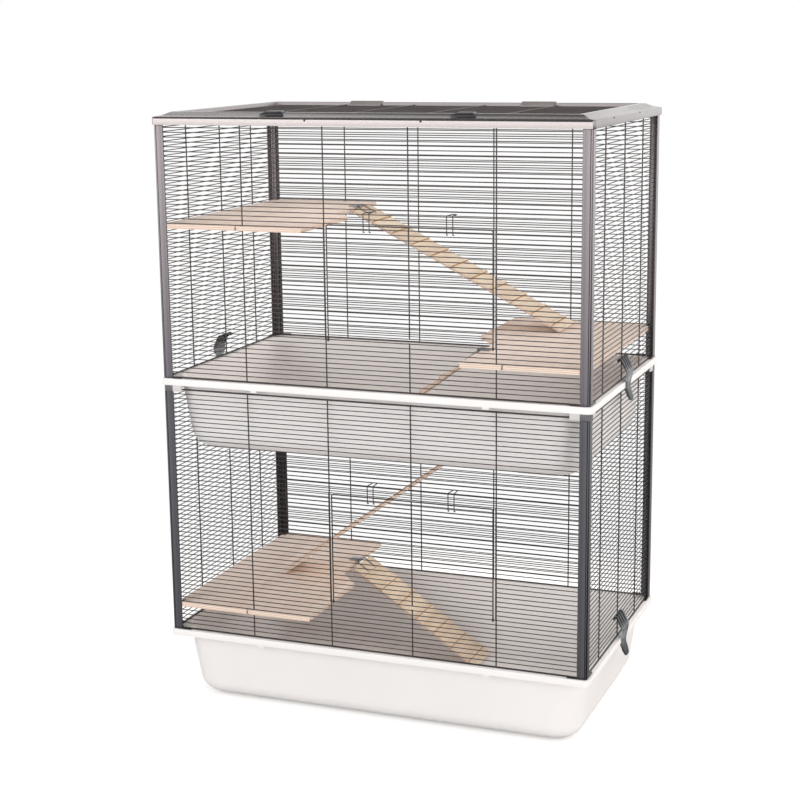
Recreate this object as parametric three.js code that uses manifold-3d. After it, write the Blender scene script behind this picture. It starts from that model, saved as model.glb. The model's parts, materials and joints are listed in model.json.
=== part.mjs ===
// Two-storey wire cage for rats or ferrets.
//
// Two moulded trays each carry a storey of welded wire panels that slide into
// four corner posts. A moulded frame closes the top round a wire roof lid.
// Three notched wooden shelves lock through the wire, and four slatted ramps
// hang from strap hinges between the shelves and the tray floors.
//
// Millimetres, +Z up, front towards -Y, origin on the ground at the middle.

import * as THREE from 'three';
import { mergeVertices } from 'three/addons/utils/BufferGeometryUtils.js';
import Module from 'manifold-3d';

const wasm = await Module();
wasm.setup();

// ---------------------------------------------------------------- fits
const seatGap = 0.3;          // between a piece and what it rests on
const railClearance = 0.4;    // wire border inside a post's groove
const wireGap = 0.35;         // wire passing wood or another wire
const boreClearance = 0.25;   // turning bar inside its eye

// ---------------------------------------------------------------- overall
const baseWidth = 780;        // rim outline, left to right
const baseDepth = 470;        // rim outline, front to back
const storeyRise = 464;       // rim top to rim top
const topRise = 454;          // upper rim top to the top frame's edge

// ---------------------------------------------------------------- trays
const trayDrop = 131;         // rim top down to the tray's underside
const trayFootHeight = 3;
const trayFootLength = 74;
const trayFootWidth = 46;
const trayFootInsetX = 108;   // rim edge to a foot's middle, left and right
const trayFootInsetY = 84;    // rim edge to a foot's middle, front and back
const trayWall = 2.6;
const rimThickness = 3;
const rimLipHeight = 11.5;
const rimLipWall = 2.2;
const rimCornerRadius = 9;
const rimLeastRadius = 1.5;
const wallInset = 12.6;       // rim edge to the tray wall's outer face
const wallLean = 0.13;        // inset gained per millimetre of drop
const wallCornerRadius = 52;
const bellyRadius = 34;       // round between wall and floor
const bellyCornerShare = 0.25; // corner radius lost per millimetre of inset
const bellySteps = 4;
const trayCornerSteps = 4;
const rimLugWidth = 12;
const rimLugDrop = 3.4;
const rimLugOffset = 211;
const rimLugSetback = 0.2;    // lug's faces inside the lip's faces
const hatchWidth = 112;       // ramp hatch in the upper tray's floor
const hatchDepth = 92;
const hatchInsetX = 509;      // rim's left edge to the hatch's hinged side
const hatchInsetY = 211;      // rim's back edge to the hatch's middle
const runIn = 1;              // how far a cut or a joined bar runs past a face

// ---------------------------------------------------------------- wire
const rowPitch = 8.165;
const rowWire = 1.8;
const rowStart = 3.4;         // rim top to the virtual first row
const rowCount = 54;          // rows up to the top border
const borderWire = 3.2;
const uprightWidth = 2.4;
const uprightDepth = 2.2;
const uprightGap = 0.15;      // uprights run just behind the rows
const wirePlane = 8.4;        // rim edge to the middle of the rows
const borderRuns = 4;         // lengths that make up a side border
const frontUprightPitch = 151;
const frontUprightCount = 4;
const sideUprightPitch = 129;
const sideUprightCount = 3;

// ---------------------------------------------------------------- posts
const postInset = 4;
const postWidth = 17;
const postChamfer = 1.2;
const postWall = 2;
const postGrooveDepth = 5.4;
const postInnerLip = 1.6;     // groove floor to the shorter inner lip's end
const postBead = 3.2;         // corner bead, out to the flute beside it
const postFluteWidth = 1.1;
const postFluteDepth = 0.8;
const capHeight = 20;
const capLeg = 34.6;
const capPlate = 3;
const capProud = 0.6;
const capChamfer = 3;
const footHeight = 3.5;

// ---------------------------------------------------------------- doors
const doorFirstRow = 10;      // the row that the door hangs on
const doorLastRow = 34;       // the row above the door
const doorSideGap = 5;        // jamb wire to the door's side wire
const doorBorder = 2.4;
const doorTopGap = 0.6;
const eyeRadius = 3.2;
const eyeLength = 5;
const eyeSeat = 2.4;          // hinge axis to where a side wire meets its eye
const eyeSides = 8;
const hookWire = 1.8;
const hookWidth = 12.5;
const hookTipWidth = 10;
const hookOffset = 73;        // hook to the middle of the door
const hookReach = 25;         // how far the hook reaches into the cage
const hookTailReach = 4;
const hookTailLift = 1.2;     // room over the row that its tail hooks on
const hookTailRow = 32;       // its tail passes behind the row above this one
const hookRestRow = 36;       // it rests on this row of the panel

// ---------------------------------------------------------------- roof
const skirtHeight = 13.2;
const frameWall = 2.4;
const ledgeWidth = 14;
const ledgeRise = 2.5;
const bevelWidth = 12;
const bevelRise = 5.5;
const bevelWallShift = 0.5;   // keeps the sloping wall as thick as the rest
const crownWidth = 10;
const lidLedgeWidth = 9;
const lidLedgeDrop = 3.6;
const frameCorner = 6;
const frameLeastRadius = 1.2;
const lidBorder = 2.6;
const lidInset = 41.2;        // rim edge to the middle of the lid's border
const lidUprightPitch = 138;
const lidUprightCount = 4;
const lidUprightSetback = 0.3; // an upright's end inside the border's face
const lidBarHeight = 4.6;     // lid ledge to the middle of the lid's border
const hingeBlockLength = 63;
const hingeBlockHalf = 4.6;
const hingeBlockRise = 6;
const hingeBlockCrest = 0.5;  // where its back starts to rise, behind the bar
const hingeLapStep = 2.7;     // from there to the foot of the lap's front face
const hingeLapStart = 4.4;    // bar to the front edge of the lap on the crown
const hingePlate = 2;
const roofFittingOffset = 169;
const latchLength = 45;
const latchCrown = 26;        // straight part of the half moon's top
const latchPlate = 2;
const latchBarrel = 4.3;      // outer radius round the lid's front bar
const latchNose = 14;         // rim edge to the latch's front face
const latchNoseHeight = 1;    // how much deeper its front face is than the plate
const latchHip = 2.6;         // the plate leaves the barrel this far out and up
const latchStem = 1.9;        // the plate's front face, ahead of the bar
const latchLean = 1;          // how far its back leans forward
const latchHeel = 0.4;        // bend's setback from the crown's front edge
const latchShoulder = 2.4;    // bar to the half moon's shoulders

// ---------------------------------------------------------------- shelves
const shelfThickness = 8;
const shelfNarrow = 226;      // rim edge to the notched side
const shelfWide = 274;        // rim edge to the full side
const shelfStepStart = 208;
const shelfStepEnd = 263;
const shelfLip = 4.6;         // rim edge to the lip's front face
const shelfSideClear = 12.9;
const shelfPostClear = 0.6;
const lockSlotWidth = 3.2;
const lockSlotOffset = 11;    // entry slot to the upright that it locks on
const lockSlotEnd = 12.4;
const lockSlotFront = 9;
const lowShelfRow = 6;        // the row just above each shelf
const midShelfRow = 7;
const highShelfRow = 33;

// ---------------------------------------------------------------- ramps
const rampWidth = 78;
const highRampInset = 97;     // rim's back edge to the ramp's middle
const midRampInset = 128;     // rim's front edge to the ramp's middle
const lowRampInset = 125;     // rim's back edge to the ramp's middle
const rampBoard = 5;
const slatHeight = 2.8;
const slatWidth = 5;
const slatPitch = 43;
const shortRamp = 308;
const longRamp = 456;
const hatchRamp = 472;
const pinHalf = 1;
const strapWidth = 22;
const strapThickness = 1.2;
const strapTongue = 15;
const strapEye = 3;
const strapReach = 4.4;       // shelf edge to the hinge axis
const rampStart = 5.2;        // hinge axis to the board's end
const stapleLeg = 24;
const stapleWidth = 34;

// ---------------------------------------------------------------- side clips
const clipWidth = 44;
const clipBand = 2.4;
const clipRow = 4;            // the row that its fingers hold
const clipFingers = 4;
const clipFinger = 7.5;       // width of a finger
const clipSlot = 4.6;         // between two fingers
const clipComb = 16;          // row down to the foot of the slots
const clipEye = 1;            // room round the row's corners
const clipNeck = 20;
const clipTongue = 32;
const clipBelow = 34;         // rim top down to the tongue's end
const clipStandOff = 1.6;     // rim edge to the clip's inner face
const clipBulge = 1.8;        // how far it bows out over the rim
const clipBulgeStart = 2;     // rim top up to the bow
const clipFlare = 6.2;        // how far the tongue's end stands out
const clipFlareStart = 9;     // lip down to where the tongue turns out
const clipRidge = 3;          // how far the ridge reaches in under the lip
const clipRidgeGap = 0.8;
const clipRidgeHeight = 2.6;
const clipRidgeFoot = 4.6;    // ridge's slope below its nose
const clipShoulder = 8;       // rim top up to where the neck begins
const clipNeckStart = 4;      // rim top down to the neck
const clipNeckEnd = 9;
const clipTongueDrop = 22;    // rim top down to the tongue's widest line
const clipTipTaper = 5;
const clipTipRise = 2;
const clipReach = 30;         // rim edge to well past the clip, both ways

// ---------------------------------------------------------------- colours
const palette = {
  tray: { color: 0xefebea, roughness: 0.45, metalness: 0 },
  moulding: { color: 0x55555a, roughness: 0.4, metalness: 0 },
  topFrame: { color: 0xb9b2b0, roughness: 0.35, metalness: 0 },
  wire: { color: 0x3c3838, roughness: 0.5, metalness: 0.4 },
  clip: { color: 0x7d7f80, roughness: 0.35, metalness: 0 },
  wood: { color: 0xdcc8b8, roughness: 0.75, metalness: 0 },
  steel: { color: 0xb8bcc2, roughness: 0.3, metalness: 1 },
};

// ================================================================ levels
const halfW = baseWidth / 2;
const halfD = baseDepth / 2;
const lowRim = trayDrop + trayFootHeight;
const highRim = lowRim + storeyRise;
const frameTop = highRim + topRise;
const trayFloor = (rim) => rim - trayDrop + trayWall;
const rowZ = (rim, row) => rim + rowStart + row * rowPitch;
const lowBorderZ = (rim) => rim + seatGap + borderWire / 2;
const uprightPlane = wirePlane + rowWire / 2 + uprightGap + uprightDepth / 2;
const uprightsAt = (pitch, count) =>
  Array.from({ length: count }, (_, i) => (i - (count - 1) / 2) * pitch);
const frontUprights = uprightsAt(frontUprightPitch, frontUprightCount);
const sideUprights = uprightsAt(sideUprightPitch, sideUprightCount);
const [, doorLeft, doorMiddle, doorRight] = frontUprights;

// ================================================================ solid kit
const across = (at, thick) => [at - thick / 2, at + thick / 2];

function toManifold(geometry) {
  const source = geometry.clone();
  source.deleteAttribute('normal');
  source.deleteAttribute('uv');
  const welded = mergeVertices(source, 1e-5);
  return new wasm.Manifold(new wasm.Mesh({
    numProp: 3,
    vertProperties: new Float32Array(welded.attributes.position.array),
    triVerts: new Uint32Array(welded.index.array),
  }));
}

// A square bar between limits, with each limit kept exact so that bars that
// share a level also share a face.
function bar(x0, x1, y0, y1, z0, z1) {
  const box = new THREE.BoxGeometry(1, 1, 1);
  const corners = box.attributes.position;
  for (let i = 0; i < corners.count; i += 1) {
    corners.setXYZ(
      i,
      corners.getX(i) > 0 ? x1 : x0,
      corners.getY(i) > 0 ? y1 : y0,
      corners.getZ(i) > 0 ? z1 : z0);
  }
  return toManifold(box);
}

function joined(solids) {
  return solids.reduce((whole, solid) => whole.add(solid));
}

// A closed outline in a plane, pushed out along the plane's normal.
function prism(points, length, holes = []) {
  const shape = new THREE.Shape(points.map(([x, y]) => new THREE.Vector2(x, y)));
  for (const hole of holes) {
    shape.holes.push(new THREE.Path(hole.map(([x, y]) => new THREE.Vector2(x, y))));
  }
  return new THREE.ExtrudeGeometry(shape, { depth: length, bevelEnabled: false });
}

// An outline given as [x, z], pushed from y0 to y1.
function prismAlongY(points, y0, y1, holes = []) {
  const geometry = prism(points, y1 - y0, holes);
  geometry.rotateX(Math.PI / 2);
  geometry.translate(0, y1, 0);
  return toManifold(geometry);
}

// An outline given as [y, z], pushed from x0 to x1.
function prismAlongX(points, x0, x1, holes = []) {
  const geometry = prism(points, x1 - x0, holes);
  geometry.rotateX(Math.PI / 2);
  geometry.rotateZ(Math.PI / 2);
  geometry.translate(x0, 0, 0);
  return toManifold(geometry);
}

// An outline given as [x, y], pushed from z0 to z1.
function prismAlongZ(points, z0, z1, holes = []) {
  const geometry = prism(points, z1 - z0, holes);
  geometry.translate(0, 0, z0);
  return toManifold(geometry);
}

// A regular outline with flat top and sides.
function polygon(cx, cy, radius) {
  return Array.from({ length: eyeSides }, (_, i) => {
    const a = ((i + 0.5) / eyeSides) * 2 * Math.PI;
    return [cx + radius * Math.cos(a), cy + radius * Math.sin(a)];
  });
}

// A bore that a square wire turns in, clear of the wire's corners.
function boreOutline(cx, cy, wire) {
  const clear = (wire / 2) * Math.SQRT2 + boreClearance;
  return polygon(cx, cy, clear / Math.cos(Math.PI / eyeSides));
}

// A band of even thickness along a line of points.
function ribbon(spine, thickness) {
  const unit = (a, b) => new THREE.Vector2(b[0] - a[0], b[1] - a[1]).normalize();
  const sides = [1, -1].map((s) => spine.map((point, i) => {
    const before = unit(spine[Math.max(i - 1, 0)], spine[Math.max(i, 1)]);
    const last = spine.length - 1;
    const after = unit(spine[Math.min(i, last - 1)], spine[Math.min(i + 1, last)]);
    const normal = new THREE.Vector2(-before.y - after.y, before.x + after.x).normalize();
    const reach = (s * thickness) / 2 / (normal.y * before.x - normal.x * before.y);
    return [point[0] + normal.x * reach, point[1] + normal.y * reach];
  }));
  return [...sides[0], ...sides[1].reverse()];
}

// Rings of equal point counts, skinned into one closed body. With close set,
// the last ring runs back to the first; otherwise both ends get flat caps.
function loft(rings, close = false) {
  const n = rings[0].length;
  const positions = rings.flat(2);
  const index = [];
  const last = close ? rings.length : rings.length - 1;
  for (let r = 0; r < last; r += 1) {
    const a = r * n;
    const b = ((r + 1) % rings.length) * n;
    for (let i = 0; i < n; i += 1) {
      const j = (i + 1) % n;
      index.push(a + i, a + j, b + j, a + i, b + j, b + i);
    }
  }
  if (!close) {
    const top = (rings.length - 1) * n;
    const cover = (ring) =>
      THREE.ShapeUtils.triangulateShape(ring.map(([x, y]) => new THREE.Vector2(x, y)), []);
    for (const [p, q, s] of cover(rings[0])) index.push(p, s, q);
    for (const [p, q, s] of cover(rings[rings.length - 1])) index.push(top + p, top + q, top + s);
  }
  const geometry = new THREE.BufferGeometry();
  geometry.setAttribute('position', new THREE.Float32BufferAttribute(positions, 3));
  geometry.setIndex(index);
  return toManifold(geometry);
}

// A rectangle with round corners, as a ring of points at one height.
function roundedRing(inset, radius, z, steps) {
  const x = halfW - inset - radius;
  const y = halfD - inset - radius;
  const ring = [];
  [[x, y, 0], [-x, y, 1], [-x, -y, 2], [x, -y, 3]].forEach(([cx, cy, quarter]) => {
    for (let i = 0; i <= steps; i += 1) {
      const a = (quarter + i / steps) * (Math.PI / 2);
      ring.push([cx + radius * Math.cos(a), cy + radius * Math.sin(a), z]);
    }
  });
  return ring;
}

const group = new THREE.Group();
group.name = 'two_storey_cage';

function addPart(name, solid, look) {
  const { vertProperties, triVerts, numProp } = solid.getMesh();
  const positions = new Float32Array((vertProperties.length / numProp) * 3);
  for (let i = 0; i < positions.length / 3; i += 1) {
    for (let k = 0; k < 3; k += 1) positions[i * 3 + k] = vertProperties[i * numProp + k];
  }
  const geometry = new THREE.BufferGeometry();
  geometry.setAttribute('position', new THREE.BufferAttribute(positions, 3));
  geometry.setIndex(new THREE.BufferAttribute(new Uint32Array(triVerts), 1));
  geometry.computeVertexNormals();
  const mesh = new THREE.Mesh(geometry, new THREE.MeshStandardMaterial(palette[look]));
  mesh.name = name;
  group.add(mesh);
}

// ================================================================ trays
// The wall leans in as it drops and runs into the floor through a round belly.
function traySection(rim, skin) {
  const floor = rim - trayDrop + skin;
  const radius = bellyRadius - skin;
  const lean = Math.atan(wallLean);
  const bellyZ = floor + radius;
  const straight = rim - bellyZ - radius * Math.sin(lean);
  const wallAtBelly = wallInset + skin + wallLean * straight;
  const centre = wallAtBelly + radius * Math.cos(lean);
  const rings = [];
  for (let i = 0; i <= bellySteps; i += 1) {
    const a = lean + (i / bellySteps) * (Math.PI / 2 - lean);
    const inset = centre - radius * Math.cos(a);
    const corner = wallCornerRadius - skin - (inset - wallInset) * bellyCornerShare;
    rings.push(roundedRing(inset, corner, bellyZ - radius * Math.sin(a), trayCornerSteps));
  }
  return rings;
}

function tray(rim) {
  const rimRing = (inset, z) =>
    roundedRing(inset, Math.max(rimCornerRadius - inset, rimLeastRadius), z, trayCornerSteps);
  const outerTop = roundedRing(wallInset, wallCornerRadius, rim - rimThickness, trayCornerSteps);
  const innerTop = roundedRing(
    wallInset + trayWall, wallCornerRadius - trayWall, rim, trayCornerSteps);
  const outer = traySection(rim, 0);
  const inner = traySection(rim, trayWall);
  const shell = loft([
    ...outer.reverse(),
    outerTop,
    rimRing(rimLipWall, rim - rimThickness),
    rimRing(rimLipWall, rim - rimLipHeight),
    rimRing(0, rim - rimLipHeight),
    rimRing(0, rim),
    innerTop,
    ...inner,
  ]);
  const extras = [];
  const underside = rim - trayDrop;
  for (const sx of [-1, 1]) {
    for (const sy of [-1, 1]) {
      extras.push(bar(
        ...across(sx * (halfW - trayFootInsetX), trayFootLength),
        ...across(sy * (halfD - trayFootInsetY), trayFootWidth),
        underside - trayFootHeight, underside + trayWall / 2));
      extras.push(bar(
        ...across(sx * rimLugOffset, rimLugWidth),
        ...across(sy * (halfD - rimLipWall / 2), rimLipWall - 2 * rimLugSetback),
        rim - rimLipHeight - rimLugDrop, rim - rimLipHeight + runIn));
    }
  }
  return joined([shell, ...extras]);
}

// ================================================================ posts
// Plan of a corner post: an L whose legs end in grooves for the wire borders,
// with a fluted bead down its corner. It is given as [inset, inset].
const cornerSigns = [
  ['fl', -1, -1],
  ['fr', 1, -1],
  ['bl', -1, 1],
  ['br', 1, 1],
];
// Half an outline, ending on the diagonal, with its mirror image.
const mirrored = (half) => [
  ...half,
  ...half.slice(0, -1).reverse().map(([u, v]) => [v, u]),
];

function atCorner(plan, sx, sy) {
  const placed = plan.map(([u, v]) => [sx * (halfW - u), sy * (halfD - v)]);
  return sx * sy > 0 ? placed : placed.reverse();
}

const grooveHalf = borderWire / 2 + railClearance;
const postLeg = wirePlane + grooveHalf + postWall;
const postEnd = postInset + postWidth;
const postInnerEnd = postEnd - postGrooveDepth + postInnerLip;
const postPlan = mirrored([
  [postInset + postChamfer, postInset],
  [postInset + postBead, postInset],
  [postInset + postBead + postFluteWidth / 2, postInset + postFluteDepth],
  [postInset + postBead + postFluteWidth, postInset],
  [postEnd, postInset],
  [postEnd, wirePlane - grooveHalf],
  [postEnd - postGrooveDepth, wirePlane - grooveHalf],
  [postEnd - postGrooveDepth, wirePlane + grooveHalf],
  [postInnerEnd, wirePlane + grooveHalf],
  [postInnerEnd, postLeg],
  [postLeg, postLeg],
]);

const capInset = postInset - capProud;
const capCore = postEnd - postGrooveDepth;
const capPlan = mirrored([
  [capInset + capChamfer, capInset],
  [capInset + capLeg, capInset],
  [capInset + capLeg, capInset + capPlate],
  [capCore, capInset + capPlate],
  [capCore, postLeg],
  [postLeg, postLeg],
]);

function post(rim, top, sx, sy) {
  const foot = rim + seatGap;
  return joined([
    prismAlongZ(atCorner(postPlan, sx, sy), foot + footHeight, top),
    prismAlongZ(atCorner(capPlan, sx, sy), foot, foot + footHeight),
  ]);
}

// ================================================================ panels
// A panel is drawn flat: along is the horizontal run, depth counts inwards
// from the rim edge, and each wire is a square bar.
function flatBar(along0, along1, depth0, depth1, z0, z1) {
  return { along0, along1, depth0, depth1, z0, z1 };
}

function standing(bars, side) {
  return joined(bars.map((b) => {
    if (side === 'front') {
      return bar(b.along0, b.along1, b.depth0 - halfD, b.depth1 - halfD, b.z0, b.z1);
    }
    if (side === 'back') {
      return bar(b.along0, b.along1, halfD - b.depth1, halfD - b.depth0, b.z0, b.z1);
    }
    if (side === 'left') {
      return bar(b.depth0 - halfW, b.depth1 - halfW, b.along0, b.along1, b.z0, b.z1);
    }
    return bar(halfW - b.depth1, halfW - b.depth0, b.along0, b.along1, b.z0, b.z1);
  }));
}

const inPlane = (thick) => [wirePlane - thick / 2, wirePlane + thick / 2];
const behind = [uprightPlane - uprightDepth / 2, uprightPlane + uprightDepth / 2];
const weld = [wirePlane + rowWire / 2, behind[0]];
const sideBorderInset = postEnd - postGrooveDepth + railClearance * 2 + borderWire / 2;

// Every wire ends on the face of the wire that carries it.
function wirePanel(rim, half, uprights, hasDoor) {
  const end = half - sideBorderInset;
  const inner = end - borderWire / 2;
  const low = lowBorderZ(rim);
  const high = rowZ(rim, rowCount);
  const inside = [low + borderWire / 2, high - borderWire / 2];
  const sill = rowZ(rim, doorFirstRow);
  const head = rowZ(rim, doorLastRow);
  const bars = [low, high].map((z) =>
    flatBar(-end - borderWire / 2, end + borderWire / 2, ...inPlane(borderWire),
      ...across(z, borderWire)));
  const step = (inside[1] - inside[0]) / borderRuns;
  const joint = (i) => (i === borderRuns ? inside[1] : inside[0] + i * step);
  for (let i = 0; i < borderRuns; i += 1) {
    for (const s of [-1, 1]) {
      bars.push(flatBar(
        ...across(s * end, borderWire), ...inPlane(borderWire), joint(i), joint(i + 1)));
    }
  }
  const jambs = hasDoor ? [doorLeft - uprightWidth / 2, doorRight + uprightWidth / 2] : [];
  const isSplit = (row) => hasDoor && row > doorFirstRow && row < doorLastRow;
  for (let row = 1; row < rowCount; row += 1) {
    const spans = isSplit(row) ? [[-inner, jambs[0]], [jambs[1], inner]] : [[-inner, inner]];
    for (const [from, to] of spans) {
      bars.push(flatBar(from, to, ...inPlane(rowWire), ...across(rowZ(rim, row), rowWire)));
    }
  }
  for (const at of uprights) {
    const cut = hasDoor && at === doorMiddle;
    const runs = cut
      ? [[inside[0], sill + rowWire / 2], [head - rowWire / 2, inside[1]]]
      : [inside];
    for (const [from, to] of runs) {
      bars.push(flatBar(...across(at, uprightWidth), ...behind, from, to));
    }
    if (cut) {
      for (const z of [sill, head]) {
        bars.push(flatBar(...across(at, uprightWidth), ...weld, ...across(z, rowWire)));
      }
    }
  }
  if (hasDoor) {
    for (const at of [doorLeft, doorRight]) {
      bars.push(flatBar(
        ...across(at, uprightWidth), wirePlane - rowWire / 2, behind[0],
        sill + rowWire / 2, head - rowWire / 2));
    }
  }
  return bars;
}

// ================================================================ doors
// The door turns on two eyes round the panel row below it.
const doorEnd = (doorRight - doorLeft) / 2 - doorSideGap;
const doorTopZ = (rim) => rowZ(rim, doorLastRow) - rowWire / 2 - doorTopGap - doorBorder / 2;

function door(rim) {
  const axis = rowZ(rim, doorFirstRow);
  const top = doorTopZ(rim);
  const inner = doorEnd - doorBorder / 2;
  const bars = [flatBar(
    doorMiddle - doorEnd - doorBorder / 2, doorMiddle + doorEnd + doorBorder / 2,
    ...inPlane(doorBorder), ...across(top, doorBorder))];
  for (const s of [-1, 1]) {
    bars.push(flatBar(
      ...across(doorMiddle + s * doorEnd, doorBorder), ...inPlane(doorBorder),
      axis + eyeSeat, top - doorBorder / 2));
  }
  for (let row = doorFirstRow + 1; row < doorLastRow; row += 1) {
    bars.push(flatBar(
      doorMiddle - inner, doorMiddle + inner, ...inPlane(rowWire),
      ...across(rowZ(rim, row), rowWire)));
  }
  const firstRow = rowZ(rim, doorFirstRow + 1);
  bars.push(flatBar(
    ...across(doorMiddle, uprightWidth), ...behind, firstRow - rowWire / 2, top));
  bars.push(flatBar(
    ...across(doorMiddle, uprightWidth), ...weld, ...across(firstRow, rowWire)));
  const y = wirePlane - halfD;
  const eyes = [-1, 1].map((s) => prismAlongX(
    polygon(y, axis, eyeRadius), ...across(doorMiddle + s * doorEnd, eyeLength),
    [boreOutline(y, axis, rowWire)]));
  return joined([standing(bars, 'front'), ...eyes]);
}

// A hook of bent wire: two legs in front of the door's top edge, tails that
// pass behind a door row, and arms that reach in over a row of the panel.
const hookPlane = wirePlane - doorBorder / 2 - wireGap - hookWire / 2;

function doorHook(rim, x) {
  const y = hookPlane - halfD;
  const h = hookWire / 2;
  const tail = rowZ(rim, hookTailRow) + rowWire / 2 + wireGap + h + hookTailLift;
  const rest = rowZ(rim, hookRestRow) + rowWire / 2 + wireGap + h;
  const arms = [-1, 1].flatMap((s) => {
    const at = x + s * (hookWidth / 2 - h);
    const tip = x + s * (hookTipWidth / 2 - h);
    const arm = [
      [at - h, y],
      [at + h, y],
      [tip + h, y + hookReach],
      [tip - h, y + hookReach],
    ];
    return [
      bar(at - h, at + h, y - h, y + h, tail - h, rest + h),
      bar(at - h, at + h, y - h, y + h + hookTailReach, tail - h, tail + h),
      prismAlongZ(arm, rest - h, rest + h),
    ];
  });
  const tipBar = bar(
    ...across(x, hookTipWidth), y + hookReach - hookWire, y + hookReach, rest - h, rest + h);
  return joined([...arms, tipBar]);
}

// ================================================================ top frame
const bevelStart = ledgeWidth;
const bevelEnd = bevelStart + bevelWidth;
const crownEnd = bevelEnd + crownWidth;
const lidLedgeZ = frameTop - lidLedgeDrop;
const crownZ = frameTop + ledgeRise + bevelRise;

function topFrame() {
  const section = [
    [0, frameTop - skirtHeight],
    [0, frameTop],
    [bevelStart, frameTop + ledgeRise],
    [bevelEnd, crownZ],
    [crownEnd, crownZ],
    [crownEnd, lidLedgeZ],
    [crownEnd + lidLedgeWidth, lidLedgeZ],
    [crownEnd + lidLedgeWidth, lidLedgeZ - frameWall],
    [crownEnd - frameWall, lidLedgeZ - frameWall],
    [crownEnd - frameWall, crownZ - frameWall],
    [bevelEnd + bevelWallShift, crownZ - frameWall],
    [bevelStart + bevelWallShift, frameTop + ledgeRise - frameWall],
    [frameWall, frameTop - frameWall],
    [frameWall, frameTop - skirtHeight],
  ];
  return loft(section.map(([inset, z]) =>
    roundedRing(inset, Math.max(frameCorner - inset, frameLeastRadius), z, 1)), true);
}

// ================================================================ roof lid
const lidZ = lidLedgeZ + lidBarHeight;
const lidHalfW = halfW - lidInset;
const lidHalfD = halfD - lidInset;

function roofLid() {
  const b = lidBorder / 2;
  const r = rowWire / 2;
  const bars = [];
  for (const s of [-1, 1]) {
    bars.push(bar(-lidHalfW - b, lidHalfW + b, ...across(s * lidHalfD, lidBorder),
      lidZ - b, lidZ + b));
    bars.push(bar(...across(s * lidHalfW, lidBorder), -lidHalfD + b, lidHalfD - b,
      lidZ - b, lidZ + b));
  }
  const rows = Math.floor((2 * lidHalfD) / rowPitch) - 1;
  const pitch = (2 * lidHalfD) / (rows + 1);
  for (let i = 1; i <= rows; i += 1) {
    bars.push(bar(-lidHalfW + b, lidHalfW - b, ...across(-lidHalfD + i * pitch, rowWire),
      lidZ - r, lidZ + r));
  }
  const z = lidZ + r + uprightGap;
  const upright = lidHalfD + b - lidUprightSetback;
  for (const x of uprightsAt(lidUprightPitch, lidUprightCount)) {
    bars.push(bar(...across(x, uprightWidth), -upright, upright, z, z + uprightDepth));
  }
  return joined(bars);
}

// A block on the lid ledge that the lid's back bar turns in, with a lap that
// lies on the crown behind it.
function roofHinge(x) {
  const y = lidHalfD;
  const over = crownZ + seatGap;
  const lapBack = halfD - bevelEnd;
  const outline = [
    [y - hingeBlockHalf, lidLedgeZ + seatGap],
    [y + hingeBlockHalf, lidLedgeZ + seatGap],
    [y + hingeBlockHalf, over],
    [lapBack, over],
    [lapBack, over + hingePlate],
    [y + hingeLapStart, over + hingePlate],
    [y + hingeBlockCrest + hingeLapStep, over - seatGap],
    [y + hingeBlockCrest, lidZ + hingeBlockRise],
    [y - hingeBlockHalf, lidZ + hingeBlockRise / 2],
  ];
  return prismAlongX(
    outline, ...across(x, hingeBlockLength), [boreOutline(y, lidZ, lidBorder)]);
}

// A half-moon latch that turns on the lid's front bar and laps over the crown.
function roofLatch(x) {
  const y = -lidHalfD;
  const over = crownZ + seatGap;
  const nose = latchNose - halfD;
  const ledge = frameTop + ledgeRise + 2 * seatGap;
  const crownFront = bevelEnd - halfD;
  const plate = [
    [y - latchStem, lidZ + latchHip],
    [y - latchStem, over],
    [crownFront - latchHeel, over],
    [bevelStart - halfD, ledge],
    [nose, ledge],
    [nose, ledge + latchPlate + latchNoseHeight],
    [crownFront - latchLean, over + latchPlate],
    [y - latchLean, over + latchPlate],
    [y + latchHip, lidZ + latchHip],
  ];
  const barrel = prismAlongX(polygon(y, lidZ, latchBarrel), ...across(x, latchLength));
  const body = barrel.add(prismAlongX(plate, ...across(x, latchLength)));
  const top = over + latchPlate;
  const end = latchLength / 2 + runIn;
  const moon = prismAlongY([
    [x - end, lidZ + latchShoulder],
    [x - latchCrown / 2, top],
    [x + latchCrown / 2, top],
    [x + end, lidZ + latchShoulder],
    [x + end, lidZ - latchBarrel - runIn],
    [x - end, lidZ - latchBarrel - runIn],
  ], nose - runIn, y + latchBarrel + runIn);
  const bore = prismAlongX(boreOutline(y, lidZ, lidBorder), ...across(x, 2 * latchLength));
  return body.intersect(moon).subtract(bore);
}

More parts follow.
